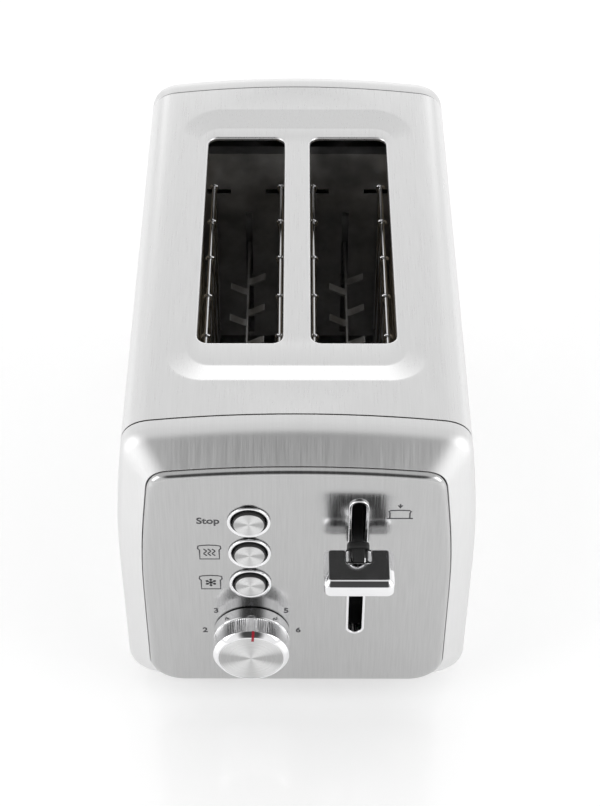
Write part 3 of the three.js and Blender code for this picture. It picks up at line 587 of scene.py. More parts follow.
def outer_shell():
    """The wrapped sheet: crowned top, pressed recess, rolled slots, sides and turned-in bottom."""
    builder = Builder()
    crown_x = section_anchors(0)[2][0]
    rim = recess_outline(1)
    columns = [crown_x * (i / 12 * 2 - 1) for i in range(13)]
    ends = (shell_lo.y + SEAM_EASE, shell_hi.y - SEAM_EASE)
    edge = [(x, ends[0]) for x in columns] + [(x, ends[1]) for x in reversed(columns)]
    builder.flat(edge, [rim], lambda x, y: (x, y, crown_z(x)))

    wall = []
    for share, drop in fillet(RECESS_WALL, 6):
        outline = recess_outline(share)
        wall.append([
            (x, y, crown_z(above[0]) * (1 - drop) + RECESS_FLOOR * drop)
            for (x, y), above in zip(outline, rim)
        ])
    builder.loft(wall)

    slots = [slot_outline(side, SLOT_ROLL) for side in (-1, 1)]
    builder.flat(recess_outline(0), slots, lambda x, y: (x, y, RECESS_FLOOR))
    for side in (-1, 1):
        roll = []
        for degrees in (0, 20, 40, 60, 80, 90):
            angle = math.radians(degrees)
            down = SLOT_ROLL * (1 - math.cos(angle))
            outline = slot_outline(side, SLOT_ROLL * (1 - math.sin(angle)))
            roll.append([(x, y, RECESS_FLOOR - down) for x, y in outline])
        roll.append([(x, y, RECESS_FLOOR - FLANGE_DEPTH) for x, y in slot_outline(side)])
        builder.loft(roll)

    for side in (-1, 1):
        outline = [(BOTTOM_OPENING / 2, BODY_BOTTOM)] + side_outline(0)
        builder.loft([[(side * x, y, z) for x, z in outline] for y in ends], closed=False)
    piece = builder.build("outer_shell_sheet", 50)
    thick = piece.modifiers.new("thickness", "SOLIDIFY")
    thick.thickness = SHEET
    thick.offset = -1
    crisp = piece.modifiers.new("crisp_edges", "EDGE_SPLIT")
    crisp.split_angle = math.radians(50)
    return keep(piece, "housing", "satin_steel", "outer_shell")


def body_ring(y, inset):
    """The body's section at y, moved in by inset."""
    return [(x, y, z) for x, z in body_outline(inset)]


def end_cap(name, seam, tip):
    """Rim, chamfer, groove round the panel and the seat behind it, as one pressed ring."""
    end = 1 if tip > seam else -1
    depth = abs(tip - seam)
    seat = depth - SEAT_DEPTH
    seat_back = seat - CAP_WALL
    lip = CHAMFER_INSET + LIP_EASE
    profile = fillet([                       # place along the cap, inset, rounding
        (0, 0, 0.3 * MM),
        (CAP_RIM, 0, 5 * MM),
        (depth, lip - 0.3 * MM, 1.4 * MM),
        (depth - 0.4 * MM, lip, 0.4 * MM),
        (seat, lip, 0),
        (seat, SEAT_INSET, 0),
        (seat_back, SEAT_INSET, 0),
        (seat_back, CHAMFER_INSET - 3 * MM, 0),
        (CAP_RIM, CAP_WALL, 1 * MM),
        (0, CAP_WALL, 0),
    ], 6, closed=True)
    builder = Builder()
    builder.loft([body_ring(seam + end * along, inset) for along, inset in profile], joined=True)
    return keep(builder.build(name + "_ring", 30), "housing", "brushed_cap", name)


def panel(name, back, face, holes, pillow):
    """A shallow pan with a rounded edge and a pillowed border; holes go through its flat face."""
    end = 1 if face > back else -1
    skin = face - end * PANEL_SKIN
    inner = PANEL_INSET + PANEL_EDGE
    flat = inner + pillow
    rings = [(skin, flat), (skin, inner), (back, inner), (back, PANEL_INSET)]
    for drop, inset in reversed(quarter(PANEL_EDGE, 8)):
        rings.append((face - end * (PILLOW_DROP + drop), PANEL_INSET + inset))
    for share in (0.2, 0.4, 0.6, 0.8, 1.0):
        rings.append((face - end * PILLOW_DROP * (1 - share) ** 2, inner + pillow * share))
    builder = Builder()
    builder.loft([body_ring(y, inset) for y, inset in rings])
    for y in (face, skin):
        builder.flat(body_outline(flat), holes, lambda x, z, y=y: (x, y, z))
    for hole in holes:
        builder.loft([[(x, y, z) for x, z in hole] for y in (face, skin)])
    return keep(builder.build(name + "_plate", 30), "housing", "brushed_panel", name)


def centre_of(node):
    """The point halfway through a CAD node's box."""
    return measure(node)[2]


def stadium(node, grow):
    """The upright outline of a node with round ends, moved out by grow."""
    low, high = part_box(node)
    radius = (high.x - low.x) / 2 + grow
    x = (low.x + high.x) / 2
    top, bottom = high.z + grow - radius, low.z - grow + radius
    return arc((x, top), radius, 0, 180, 16) + arc((x, bottom), radius, 180, 360, 16)


BUTTONS = ("stop", "reheat", "defrost")
RING_FLANGE = 1 * MM             # of a button's ring, past its hole in the panel
SHAFT_BORE = 3.6 * MM
TRIM_WIDTH = 1.3 * MM
TRIM_COVER = 0.6 * MM            # how far the trim reaches past the lever's hole in the panel
MOUTH_PLAY = 0.3 * MM
GLAND_BORE = 7.3 * MM


def control_panel():
    """The front panel, with holes for the three buttons, the knob's shaft and the lever."""
    holes = []
    for button in BUTTONS:
        low, high, middle = measure(button + "_button_ring")
        holes.append(circle((middle.x, middle.z), (high.x - low.x) / 2 - RING_FLANGE, 48))
    knob = centre_of("browning_knob")
    holes.append(circle((knob.x, knob.z), SHAFT_BORE, 32))
    holes.append(stadium("lever_slot_trim", -TRIM_COVER))
    return panel("control_panel", panel_hi.y, panel_lo.y, holes, PILLOW_WIDTH)


def rear_panel():
    """The rear panel, with the tray's mouth and the gland's hole."""
    low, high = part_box("crumb_tray")
    corners = [(low.x - MOUTH_PLAY, low.z - MOUTH_PLAY), (high.x + MOUTH_PLAY, high.z + MOUTH_PLAY)]
    gland = centre_of("cord_gland")
    holes = [rounded_rectangle(*corners, 1 * MM, 4), circle((gland.x, gland.z), GLAND_BORE, 48)]
    return panel("rear_panel", rear_panel_lo.y, rear_panel_hi.y, holes, REAR_PILLOW)


# ---------- Controls ----------
POLE = 0.01 * MM                 # radius of the point where a turned profile meets its axis
RING_BORE = 7.5 * MM
BUTTON_DISH = 0.35 * MM
BUTTON_SKIRT = 7 * MM            # of a button's body, behind the panel's face
BUTTON_STEM = 2 * MM


def button_ring(button):
    """A polished ring whose flange stands out round the bore of its button."""
    node = button + "_button_ring"
    low, high, middle = measure(node)
    outer = (high.x - low.x) / 2
    barrel = outer - 1.3 * MM
    seat = panel_lo.y - 0.3 * MM
    profile = fillet([
        (RING_BORE, high.y, 0),
        (barrel, high.y, 0),
        (barrel, seat, 0),
        (outer, seat, 0),
        (outer, low.y, 0.7 * MM),
        (RING_BORE + 0.9 * MM, low.y, 0.6 * MM),
        (RING_BORE, low.y + 1.1 * MM, 0.6 * MM),
    ], 6, closed=True)
    piece = turned(node + "_plated", profile, (middle.x, 0, middle.z), 96, closed=True)
    return keep(piece, "housing", "chrome", node)


def button_cap(button):
    """A button has a slightly dished spun face on a black moulded body."""
    node = button + "_button"
    low, high, middle = measure(node)
    centre = (middle.x, 0, middle.z)
    radius = (high.x - low.x) / 2
    disc = radius - 0.45 * MM
    skirt = panel_lo.y + BUTTON_SKIRT
    face = [(POLE, low.y + BUTTON_DISH)]
    face += [(disc * share, low.y + BUTTON_DISH * (1 - share ** 2)) for share in (0.2, 0.4, 0.6, 0.8)]
    edge = [(disc - 0.3 * MM, low.y, 0), (disc, low.y, 0.2 * MM), (disc, low.y + 0.5 * MM, 0)]
    face += fillet(edge, 4)
    piece = turned(node + "_face", face, centre, 96)
    keep(piece, button, "spun_aluminium", node)
    body = fillet([
        (POLE, low.y + 0.45 * MM, 0),
        (disc, low.y + 0.4 * MM, 0),
        (radius, low.y + 0.4 * MM, 0.4 * MM),
        (radius, skirt, 0),
        (BUTTON_STEM, skirt, 0),
        (BUTTON_STEM, high.y, 0),
        (POLE, high.y, 0),
    ], 4)
    add(turned(node + "_body", body, centre, 96), button, "black_plastic")


KNURLS = 120
KNURL_DEPTH = 0.27 * MM
KNOB_BEVEL = 1.9 * MM
KNOB_BASE = 5.7 * MM             # length of the knob's plain base


def browning_knob():
    """Polished base ring, knurled grip, polished bevel and a spun face."""
    low, high, middle = measure("browning_knob")
    radius = (high.x - low.x) / 2
    front = low.y
    face = radius - KNOB_BEVEL
    base_end = high.y - KNOB_BASE
    grip_end = front + KNOB_BEVEL
    steps = KNURLS * 4
    profile = [                              # place along the knob, radius, depth of the knurls
        (high.y, radius - 0.3 * MM, 0),
        (high.y - 0.3 * MM, radius, 0),
        (base_end + 0.4 * MM, radius, 0),
        (base_end + 0.1 * MM, radius - 0.25 * MM, 0),
        (base_end - 0.2 * MM, radius - 0.25 * MM, 0),
        (base_end - 0.5 * MM, radius, 0.15),
        (base_end - 0.9 * MM, radius, 1),
        (grip_end + 0.7 * MM, radius, 1),
        (grip_end + 0.25 * MM, radius, 0),
        (grip_end, radius - 0.15 * MM, 0),
        (front + 0.15 * MM, face + 0.1 * MM, 0),
        (front, face - 0.1 * MM, 0),
        (front, face - 0.7 * MM, 0),
        (front + 0.5 * MM, face - 1.2 * MM, 0),
    ]
    rings = []
    for along, r, knurled in profile:
        ring = []
        for i in range(steps):
            cut = knurled * KNURL_DEPTH * (0, 0.5, 1, 0.5)[i % 4]
            x, z = polar((middle.x, middle.z), r - cut, 2 * math.pi * i / steps)
            ring.append((x, along, z))
        rings.append(ring)
    body = Builder()
    body.solid(rings)
    keep(body.build("browning_knob_grip", 22), "knob", "chrome", "browning_knob")

    dish = face - 0.9 * MM
    back = 0.05 * MM
    profile = [(POLE, front + back)]
    profile += [(dish * share, front + back * (1 - share)) for share in (0.3, 0.6, 0.9)]
    profile += [(dish, front - 0.02 * MM), (dish + 0.2 * MM, front + 0.1 * MM)]
    piece = turned("browning_knob_face", profile, (middle.x, 0, middle.z), 128)
    add(piece, "knob", "spun_aluminium")


POINTER_TURN = -4                # degrees from the knob's top, as the knob stands at rest
POINTER_REACH = 2.8 * MM         # onto the face, from its bevel
POINTER_HALF = 0.6 * MM
POINTER_LIFT = 0.07 * MM         # above the metal


def knob_pointer():
    """A red line inlaid in the knob's bevel and in the edge of its face."""
    low, high, middle = measure("browning_knob")
    radius = (high.x - low.x) / 2
    turn = Matrix.Rotation(math.radians(POINTER_TURN), 2)
    path = [
        (radius - KNOB_BEVEL - POINTER_REACH, low.y - POINTER_LIFT),
        (radius - KNOB_BEVEL, low.y - POINTER_LIFT),
        (radius + POINTER_LIFT, low.y + KNOB_BEVEL - POINTER_LIFT),
        (radius + POINTER_LIFT, low.y + KNOB_BEVEL + 0.5 * MM),
    ]
    builder = Builder()
    rows = []
    for across in (-POINTER_HALF, POINTER_HALF):
        row = []
        for up, y in path:
            u, v = turn @ Vector((across, up))
            row.append((middle.x + u, y, middle.z + v))
        rows.append(builder.ring(row))
    builder.bridge(rows[0], rows[1], closed=False)
    piece = builder.build("browning_knob_pointer", 30)
    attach(piece, "knob")
    shader = Shader("pointer_red", Roughness=0.4)
    shader.colours(shader.noise(2500, 2), (0.3, 0.005, 0.02), (0.42, 0.012, 0.03))
    piece.data.materials.append(shader.material)


# ---------- Printed marks, as flat ink on the panel's face ----------
INK_LIFT = 0.04 * MM
INK_HALF = 0.34 * MM             # half the width of an icon's lines
TYPE_WEIGHT = 0.16 * MM          # how far the letters are fattened
DIAL_RADIUS = 21.9 * MM
DIAL_ANGLES = (-135, 180, 138, 90, 42, 0, -45)      # of the numbers 1 to 7, counted from +X
TOP_RADIUS = 19.5 * MM           # of the number at the top, which stands under the defrost ring
ICON_OFFSET = 18.1 * MM          # icons to the left of their buttons
LEVER_MARK = (18 * MM, -12.2 * MM)      # from the top of the lever slot's trim
NUMBER_SIZE = 4.8 * MM
TOP_NUMBER_SIZE = 3.8 * MM
WORD_SIZE = 5.6 * MM

# Icons are drawn in millimetres about their own middle.
SLICE = [(-4.4, -4.6), (-4.4, 1.6), (-5.2, 2.6), (-5.0, 4.3), (-3.2, 4.8), (0, 5.0),
         (3.2, 4.8), (5.0, 4.3), (5.2, 2.6), (4.4, 1.6), (4.4, -4.6)]
HALF_SLICE = [(-4.4, 0), (-4.4, 3.6), (-4.9, 4.4), (-4.2, 5.2), (0, 5.4),
              (4.2, 5.2), (4.9, 4.4), (4.4, 3.6), (4.4, 0)]
ARROW = [([(0, 9.4), (0, 7.2)], False), ([(-0.9, 8.6), (0, 7.0), (0.9, 8.6)], False)]


def lettering(text, x, z, size):
    """A short line of type on the panel."""
    curve = bpy.data.curves.new("print_" + text, "FONT")
    curve.body = text
    curve.size = size
    curve.align_x = "CENTER"
    curve.align_y = "CENTER"
    curve.extrude = INK_LIFT / 2
    curve.offset = TYPE_WEIGHT
    curve.resolution_u = 4
    piece = put("print_" + text, curve)
    piece.location = (x, panel_lo.y - INK_LIFT / 2, z)
    piece.rotation_euler = (math.radians(90), 0, 0)
    curve.materials.append(ink())
    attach(piece, "housing")


def icon(name, x, z, strokes):
    """Ribbons of ink along strokes, each (points in millimetres, whether it is closed)."""
    builder = Builder()
    y = panel_lo.y - INK_LIFT
    for points, closed in strokes:
        count = len(points)
        edges = ([], [])
        for i, (u, v) in enumerate(points):
            before = points[i - 1] if i or closed else points[i]
            after = points[(i + 1) % count] if i < count - 1 or closed else points[i]
            along = Vector((after[0] - before[0], after[1] - before[1])).normalized()
            side = Vector((-along.y, along.x)) * INK_HALF
            for edge, sign in zip(edges, (1, -1)):
                edge.append((x + u * MM + sign * side.x, y, z + v * MM + sign * side.y))
        builder.bridge(builder.ring(edges[0]), builder.ring(edges[1]), closed)
    piece = builder.build(name, 30)
    piece.data.materials.append(ink())
    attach(piece, "housing")


def wave(x):
    """One upright wavy line of the reheat icon."""
    heights = [i * 0.4 - 2.4 for i in range(13)]
    return [(x + 0.6 * math.sin(v * 1.9), v) for v in heights], False


def snowflake(radius):
    """Six arms with two barbs each."""
    strokes = []
    for i in range(6):
        a = math.radians(30 + 60 * i)
        tip = Vector((math.cos(a), math.sin(a))) * radius
        strokes.append(([(0, 0), tuple(tip)], False))
        for turn in (-60, 60):
            barb = Vector((math.cos(a + math.radians(turn)), math.sin(a + math.radians(turn))))
            strokes.append(([tuple(tip * 0.62), tuple(tip * 0.62 + barb * 0.8)], False))
    return strokes


def printed_marks():
    """Dial numbers round the knob, a mark for each button and one for the lever."""
    knob = centre_of("browning_knob")
    for number, degrees in enumerate(DIAL_ANGLES, 1):
        on_top = degrees == 90
        radius = TOP_RADIUS if on_top else DIAL_RADIUS
        x, z = polar((knob.x, knob.z), radius, math.radians(degrees))
        lettering(str(number), x, z, TOP_NUMBER_SIZE if on_top else NUMBER_SIZE)
    stop, reheat, defrost = (centre_of(button + "_button") for button in BUTTONS)
    lettering("Stop", stop.x - ICON_OFFSET, stop.z, WORD_SIZE)
    waves = [wave(-1.9), wave(0), wave(1.9)]
    icon("print_reheat", reheat.x - ICON_OFFSET, reheat.z, [(SLICE, True)] + waves)
    icon("print_defrost", defrost.x - ICON_OFFSET, defrost.z, [(SLICE, True)] + snowflake(2.7))
    base_line = ([(-5.8, 0), (5.8, 0)], False)
    strokes = [(HALF_SLICE, False), base_line] + ARROW
    slot_x = centre_of("lever_slot_trim").x
    slot_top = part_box("lever_slot_trim")[1].z
    icon("print_lever", slot_x + LEVER_MARK[0], slot_top + LEVER_MARK[1], strokes)


def lever_slot_trim():
    """A polished rounded frame round the lever's slot."""
    low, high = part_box("lever_slot_trim")
    seat = panel_lo.y - 0.05 * MM
    barrel = -0.9 * MM
    section = fillet([                       # growth of the trim's outline, place along Y, rounding
        (-TRIM_WIDTH, high.y, 0),
        (barrel, high.y, 0),
        (barrel, seat, 0),
        (0, seat, 0),
        (0, low.y, 0.8 * MM),
        (-TRIM_WIDTH, low.y, 0.8 * MM),
    ], 6, closed=True)
    builder = Builder()
    rings = []
    for grow, y in section:
        rings.append([(x, y, z) for x, z in stadium("lever_slot_trim", grow)])
    builder.loft(rings, joined=True)
    return keep(builder.build("lever_slot_trim_plated", 30), "housing", "chrome", "lever_slot_trim")


LEVER_CORNER = 3.4 * MM
LEVER_CHAMFER = 2.2 * MM
LEVER_SOFT = 0.5 * MM            # rounding of the chamfer's own edges
NOTCH_HALF = 3.3 * MM
NOTCH_DEPTH = 7.6 * MM
NOTCH_CORNER = 1.6 * MM
NOTCH_LIP = 0.9 * MM


def lever_outline(low, high, inset):
    """The lever block seen from above, with a notch at its back, moved in by inset."""
    x = (low.x + high.x) / 2
    front, back = low.y + inset, high.y - inset
    outer = LEVER_CORNER - inset
    side = high.x - inset - outer
    notch = x + NOTCH_HALF + inset
    deep = high.y - NOTCH_DEPTH - inset + NOTCH_CORNER
    half = arc((side, front + outer), outer, -90, 0, 8) + arc((side, back - outer), outer, 0, 90, 8)
    half += arc((notch + NOTCH_LIP, back - NOTCH_LIP), NOTCH_LIP, 90, 180, 6)
    half += arc((notch - NOTCH_CORNER, deep), NOTCH_CORNER, 0, -90, 6)
    return half + [(2 * x - u, y) for u, y in reversed(half)]


def lever_knob():
    """A plated block with chamfered edges, open at the back round the stem."""
    low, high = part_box("lever_knob")
    top_inset = LEVER_CHAMFER + 2 * LEVER_SOFT
    profile = fillet([                       # height, inset, rounding
        (low.z, top_inset, 0),
        (low.z, LEVER_CHAMFER, LEVER_SOFT),
        (low.z + LEVER_CHAMFER, 0, LEVER_SOFT),
        (high.z - LEVER_CHAMFER, 0, LEVER_SOFT),
        (high.z, LEVER_CHAMFER, LEVER_SOFT),
        (high.z, top_inset, 0),
    ], 5)
    builder = Builder()
    builder.solid([[(x, y, z) for x, y in lever_outline(low, high, inset)] for z, inset in profile])
    return keep(builder.build("lever_knob_block", 40), "lift_carriage", "chrome", "lever_knob")


def soft_block(builder, low, high, radius, edge):
    """Adds a box with round corners seen along Y and soft ends."""
    profile = [(low[1] + drop, inset) for drop, inset in quarter(edge, 3)]
    profile += [(low[1] + high[1] - y, inset) for y, inset in reversed(profile)]
    rings = []
    for y, inset in profile:
        corners = [(low[0] + inset, low[2] + inset), (high[0] - inset, high[2] - inset)]
        outline = rounded_rectangle(*corners, max(radius - inset, 0.05 * MM), 5)
        rings.append([(x, y, z) for x, z in outline])
    builder.solid(rings)


def lever_stem():
    """The black bar from the carriage to the lever block, with a collar in front of the panel."""
    low, high, middle = measure("lever_stem")
    builder = Builder()
    half, tall = 2.5 * MM, 3 * MM
    bar = ((middle.x - half, low.y, middle.z - tall), (middle.x + half, high.y, middle.z + tall))
    soft_block(builder, *bar, 0.8 * MM, 0.4 * MM)
    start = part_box("lever_knob")[1].y + 0.3 * MM
    end = panel_lo.y - 2.6 * MM
    soft_block(builder, (low.x, start, low.z), (high.x, end, high.z), 2 * MM, 0.9 * MM)
    return keep(builder.build("lever_stem_bar", 40), "lift_carriage", "black_plastic", "lever_stem")


# ---------- Toasting chamber ----------
WIRE = 1 * MM
GUIDE_START = 8 * MM             # first upright behind the slot's front edge
GUIDE_PITCH = 29 * MM
UPRIGHTS = 6
HOOK = 1.75 * MM                 # reach of an upright's hook round the top rod
TAB_RISE = 4.2 * MM              # tips of a rack's tabs above their roots
TAB_HALF = 2.5 * MM
TAB_PITCH = 24.6 * MM
TAB_STAGGER = 8 * MM             # a right tab lies this far behind its left one
FIRST_TAB = 23.6 * MM
TAB_PAIRS = 5


def tube(builder, points, radius, sides=10):
    """Adds a round wire along points, closed at both ends."""
    rings = []
    for i, point in enumerate(points):
        before = Vector(points[max(i - 1, 0)])
        after = Vector(points[min(i + 1, len(points) - 1)])
        along = (after - before).normalized()
        side = along.cross(Vector((1, 0, 0)))
        if side.length < 0.3:
            side = along.cross(Vector((0, 1, 0)))
        side.normalize()
        other = along.cross(side)
        ring = []
        for k in range(sides):
            u, v = polar((0, 0), radius, 2 * math.pi * k / sides)
            ring.append(Vector(point) + side * u + other * v)
        rings.append(ring)
    builder.solid(rings)


def bread_guide(node, body, towards_heater):
    """A wire frame: uprights hooked over the top rod, a bottom rod and end pins in the bulkheads."""
    low, high, middle = measure(node)
    x = middle.x
    first = SLOT_FRONT + GUIDE_START
    last = first + GUIDE_PITCH * (UPRIGHTS - 1)
    top = high.z - 1.3 * MM
    bottom = low.z + WIRE
    pin_z = top - 8 * MM
    rod = fillet([                           # place along Y, height, rounding
        (low.y, pin_z, 0),
        (first - 6 * MM, pin_z, 3 * MM),
        (first - 3 * MM, top, 3 * MM),
        (last + 0.5 * MM, top, 0.5 * MM),
        (last + 2.2 * MM, pin_z, 1 * MM),
        (high.y, pin_z, 0),
    ], 5)
    builder = Builder()
    tube(builder, [(x, y, z) for y, z in rod], WIRE)
    tube(builder, [(x, first - WIRE, bottom), (x, last + WIRE, bottom)], WIRE)
    hook = [(-0.2 * MM, bottom), (-0.6 * MM, top - 4 * MM)]
    for degrees in range(200, -21, -20):
        angle = math.radians(degrees)
        hook.append((HOOK * math.cos(angle), top + 0.75 * HOOK * math.sin(angle)))
    for i in range(UPRIGHTS):
        y = first + GUIDE_PITCH * i
        tube(builder, [(x + towards_heater * u, y, z) for u, z in hook], 0.78 * WIRE)
    return keep(builder.build(node + "_wires", 60), body, "chrome", node)


def bread_rack(node):
    """A strip with bread tabs on alternate sides, bent up out of the same sheet into a shallow V."""
    low, high, middle = measure(node)
    x = middle.x
    top = high.z - TAB_RISE
    builder = Builder()
    half = 0.75 * MM
    soft_block(builder, (x - half, low.y, low.z), (x + half, high.y, top), 0.5 * MM, 0.3 * MM)
    reach = (high.x - low.x) / 2
    section = fillet([                       # place out from the strip, height, rounding
        (0.2 * MM, top - 1 * MM, 0),
        (2.4 * MM, top - 0.5 * MM, 1.5 * MM),
        (reach, high.z - 1 * MM, 0.4 * MM),
        (reach - 0.2 * MM, high.z, 0.4 * MM),
        (2 * MM, top + 0.5 * MM, 1.5 * MM),
        (0.2 * MM, top, 0),
    ], 4, closed=True)
    near_end = TAB_HALF - 0.3 * MM
    for side, stagger in ((-1, 0), (1, TAB_STAGGER)):
        for i in range(TAB_PAIRS):
            y = SLOT_FRONT + FIRST_TAB + TAB_PITCH * i + stagger
            ends = (y - TAB_HALF, y - near_end, y + near_end, y + TAB_HALF)
            builder.solid([[(x + side * u, end, z) for u, z in section] for end in ends])
    return keep(builder.build(node + "_strip", 30), "lift_carriage", "chamber_steel", node)


def lift_spring():
    """A round wire wound into a coil under the carriage, at one fixed length."""
    low, high, middle = measure("lift_spring")
    wire = 0.5 * MM
    coil = (high.x - low.x) / 2 - wire
    turns, steps = 7, 24
    count = turns * steps
    points = []
    for i in range(count + 1):
        along = low.z + wire + (high.z - low.z - 2 * wire) * i / count
        points.append((*polar((middle.x, middle.y), coil, 2 * math.pi * i / steps), along))
    builder = Builder()
    tube(builder, points, wire, 8)
    piece = keep(builder.build("lift_spring_coil", 60), "housing", "chamber_steel", "lift_spring")
    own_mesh(piece)
    return piece


# ---------- Bottom, tray and inlet ----------
def foot(node):
    """A rubber pad with a hole for its screw."""
    low, high, middle = measure(node)
    radius = (high.x - low.x) / 2
    hole, sink, floor = 2.3 * MM, 4.4 * MM, 2 * MM
    profile = fillet([
        (hole, floor, 0),
        (sink, floor, 0.3 * MM),
        (sink, low.z, 0.4 * MM),
        (radius - 0.9 * MM, low.z, 1.2 * MM),
        (radius, low.z + 1.2 * MM, 1 * MM),
        (radius - 1 * MM, high.z, 0.3 * MM),
        (hole, high.z, 0),
    ], 5, closed=True)
    piece = turned(node + "_pad", profile, (middle.x, middle.y), 48, axis="Z", closed=True)
    return keep(piece, "housing", "rubber", node)


def base_screw(node):
    """A pan head with a cross recess pressed in from below."""
    low, high, middle = measure(node)
    profile = [                              # radius, height, rise of the cross's arms
        (0.5 * MM, low.z + 1.3 * MM, 0),
        (0.9 * MM, low.z + 0.1 * MM, 1.1 * MM),
        (2 * MM, low.z + 0.05 * MM, 0.9 * MM),
        (2.3 * MM, low.z, 0),
        (3.4 * MM, low.z + 0.2 * MM, 0),
        (4 * MM, low.z + 0.9 * MM, 0),
        (4 * MM, low.z + 1.5 * MM, 0),
        (2 * MM, low.z + 1.6 * MM, 0),
        (2 * MM, high.z - 1.5 * MM, 0),
        (0.6 * MM, high.z, 0),
    ]
    rings = []
    for radius, z, rise in profile:
        ring = []
        for i in range(32):
            arm = rise if i % 8 in (7, 0, 1) else 0
            ring.append((*polar((middle.x, middle.y), radius, 2 * math.pi * i / 32), z + arm))
        rings.append(ring)
    builder = Builder()
    builder.solid(rings)
    return keep(builder.build(node + "_head", 30), "housing", "chamber_steel", node)


def crumb_tray():
    """A folded tray with a rolled rim."""
    low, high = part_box("crumb_tray")
    wall = 0.8 * MM
    floor = low.z + wall
    profile = [                              # inset, height, corner radius
        (1.2 * MM, low.z, 1.5 * MM),
        (0.3 * MM, low.z + 0.4 * MM, 2 * MM),
        (0, low.z + 1.2 * MM, 2.2 * MM),
        (0, high.z - 0.3 * MM, 2.2 * MM),
        (0.3 * MM, high.z, 2 * MM),
        (0.6 * MM, high.z, 1.8 * MM),
        (wall, high.z - 0.3 * MM, 1.6 * MM),
        (wall, floor + 0.8 * MM, 1.6 * MM),
        (wall + 0.8 * MM, floor, 1 * MM),
    ]
    rings = []
    for inset, z, radius in profile:
        corners = [(low.x + inset, low.y + inset), (high.x - inset, high.y - inset)]
        rings.append([(x, y, z) for x, y in rounded_rectangle(*corners, radius, 5)])
    builder = Builder()
    builder.solid(rings)
    return keep(builder.build("crumb_tray_pan", 30), "tray", "chamber_steel", "crumb_tray")


def crumb_tray_handle():
    """A plate over the tray's mouth, with a grip across it and a tongue into the tray."""
    low, high, middle = measure("crumb_tray_handle")
    face = rear_panel_hi.y + 0.3 * MM
    under = middle.z - 1.5 * MM
    builder = Builder()
    soft_block(builder, (low.x, face, low.z), (high.x, face + 2 * MM, high.z), 2.5 * MM, 0.7 * MM)
    grip = ((-28 * MM, face + 1.2 * MM, under), (28 * MM, high.y, middle.z + 3 * MM))
    soft_block(builder, *grip, 1.5 * MM, 0.9 * MM)
    tongue = ((-40 * MM, low.y, under), (40 * MM, face + 0.5 * MM, middle.z + 1.5 * MM))
    soft_block(builder, *tongue, 0.5 * MM, 0.1 * MM)
    return keep(builder.build("crumb_tray_grip", 30), "tray", "black_plastic", "crumb_tray_handle")


def cord_gland():
    """A rubber collar in the rear panel, where a cord would come out."""
    low, high, middle = measure("cord_gland")
    bore, barrel = 4 * MM, 7 * MM
    flange = (high.x - low.x) / 2
    outer = rear_panel_hi.y + 0.3 * MM
    profile = fillet([
        (bore, low.y, 0),
        (barrel, low.y, 0.5 * MM),
        (barrel, outer, 0),
        (flange, outer, 0),
        (flange, outer + 1.6 * MM, 1 * MM),
        (bore + 2.2 * MM, outer + 2.4 * MM, 1 * MM),
        (bore + 1.5 * MM, high.y, 0.6 * MM),
        (bore, high.y, 0.6 * MM),
    ], 6, closed=True)
    piece = turned("cord_gland_ring", profile, (middle.x, 0, middle.z), 64, closed=True)
    return keep(piece, "housing", "rubber", "cord_gland")


def carried_over():
    """CAD pieces whose shape is already right get their slot's material."""
    slots = {row["node"]: row["material_slot"] for row in frame["record"]["subparts"]}
    for name, piece in frame["nodes"].items():
        if piece.hide_render:
            continue
        piece.data.materials.clear()
        piece.data.materials.append(material_of(slots[name]))


# ---------- Stage ----------
FLOOR_REACH = 6                  # metres from the middle to each side
DARK_SIDE = (0, -0.68, 0.733)    # direction of the unlit part of the room
DARK_SPAN = (0.8, 0.96)          # cosine of the angle to it: lit up to the first, dark from the second
DARK_LEVEL = 0.08
CEILING_SPAN = (0.3, 0.75)       # upward share of a direction: wall up to the first, then ceiling
WALL_LEVEL = 0.96
CEILING_LEVEL = 0.8


def stage():
    """A pale floor under and round the toaster, and soft studio light."""
    mesh = bpy.data.meshes.new("floor")
    sides = ((-1, -1), (1, -1), (1, 1), (-1, 1))
    mesh.from_pydata([(x * FLOOR_REACH, y * FLOOR_REACH, 0) for x, y in sides], [], [(0, 1, 2, 3)])
    floor = put("floor", mesh)
    shader = Shader("pale_floor", Roughness=0.12, Emission_Color=(1, 1, 1, 1), Emission_Strength=0.23)
    shader.colours(shader.noise(3, 2), (0.95, 0.95, 0.95), (0.97, 0.97, 0.97))
    floor.data.materials.append(shader.material)

    def lamp(name, at, towards, size, power):
        """A soft box of that size in metres and power in watts."""
        light = bpy.data.lights.new(name, "AREA")
        light.shape = "RECTANGLE"
        light.size, light.size_y = size
        light.energy = power
        holder = put(name, light)
        holder.location = at
        aim = Vector(towards) - Vector(at)
        holder.rotation_mode = "QUATERNION"
        holder.rotation_quaternion = aim.to_track_quat("-Z", "Y")

    for side, name in ((-1, "left_box"), (1, "right_box")):
        lamp(name, (side * 1.6, -0.5, 0.75), (0, 0, 0.1), (1.1, 1.1), 7)
    lamp("rear_box", (0, 2.2, 0.7), (0, 0, 0.1), (2.6, 0.8), 4)
    studio()
    bpy.context.scene.view_settings.view_transform = "Standard"


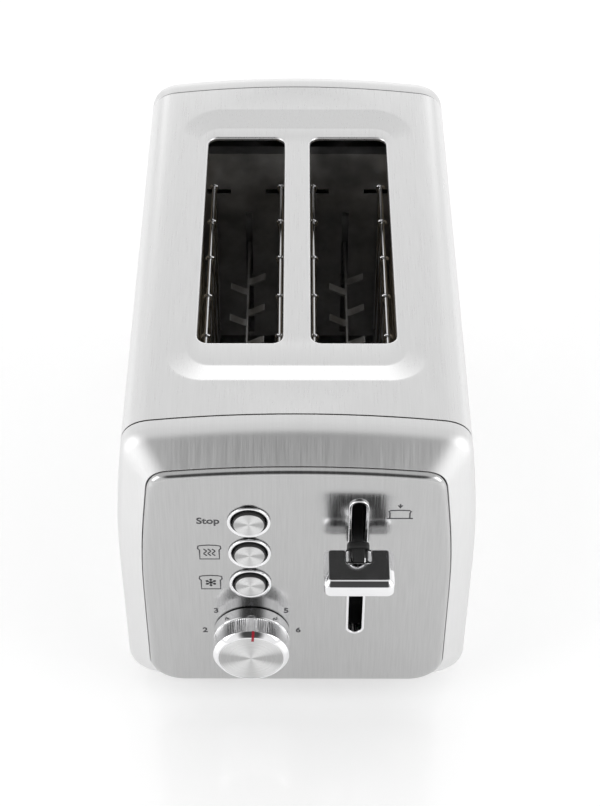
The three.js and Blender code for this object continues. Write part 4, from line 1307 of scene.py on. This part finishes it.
def studio():
    """White walls all round, dimmer overhead, with a dark side above and before the front."""
    world = bpy.data.worlds.new("studio")
    bpy.context.scene.world = world
    world.use_nodes = True
    tree = world.node_tree

    def between(source, start, stop, low, high):
        """A number that eases from low to high as source goes from start to stop."""
        scaled = tree.nodes.new("ShaderNodeMapRange")
        scaled.interpolation_type = "SMOOTHSTEP"
        fill(scaled, From_Min=start, From_Max=stop, To_Min=low, To_Max=high)
        tree.links.new(source, scaled.inputs["Value"])
        return scaled.outputs["Result"]

    place = tree.nodes.new("ShaderNodeTexCoord")
    towards = tree.nodes.new("ShaderNodeVectorMath")
    towards.operation = "DOT_PRODUCT"
    towards.inputs[1].default_value = DARK_SIDE
    tree.links.new(place.outputs["Generated"], towards.inputs[0])
    height = tree.nodes.new("ShaderNodeSeparateXYZ")
    tree.links.new(place.outputs["Generated"], height.inputs[0])
    level = tree.nodes.new("ShaderNodeMath")
    level.operation = "MULTIPLY"
    ahead = between(towards.outputs["Value"], *DARK_SPAN, 1, DARK_LEVEL)
    overhead = between(height.outputs["Z"], *CEILING_SPAN, WALL_LEVEL, CEILING_LEVEL)
    tree.links.new(ahead, level.inputs[0])
    tree.links.new(overhead, level.inputs[1])
    background = tree.nodes["Background"]
    background.inputs["Color"].default_value = (1, 1, 1, 1)
    tree.links.new(level.outputs["Value"], background.inputs["Strength"])


def camera():
    """The photo's point of view."""
    lens = bpy.data.cameras.new("camera")
    lens.lens = CAMERA_LENS
    lens.clip_start = 0.01
    lens.clip_end = 50
    view = put("camera", lens)
    view.location = CAMERA_AT
    view.rotation_euler = (math.radians(90 - CAMERA_DOWN), math.radians(CAMERA_ROLL), 0)
    bpy.context.scene.camera = view


camera()
outer_shell()
end_cap("front_end_cap", cap_hi.y, cap_lo.y)
end_cap("rear_end_cap", rear_cap_lo.y, rear_cap_hi.y)
control_panel()
rear_panel()
for button in BUTTONS:
    button_ring(button)
    button_cap(button)
browning_knob()
knob_pointer()
printed_marks()
lever_slot_trim()
lever_knob()
lever_stem()
for side_name, side in (("left", -1), ("right", 1)):
    bread_guide(side_name + "_outer_guide", "guide_" + side_name + "_outer", side)
    bread_guide(side_name + "_inner_guide", "guide_" + side_name + "_inner", -side)
    bread_rack(side_name + "_bread_rack")
    for end_name in ("front", "rear"):
        foot(f"foot_{end_name}_{side_name}")
        base_screw(f"base_screw_{end_name}_{side_name}")
lift_spring()
crumb_tray()
crumb_tray_handle()
cord_gland()
carried_over()
stage()
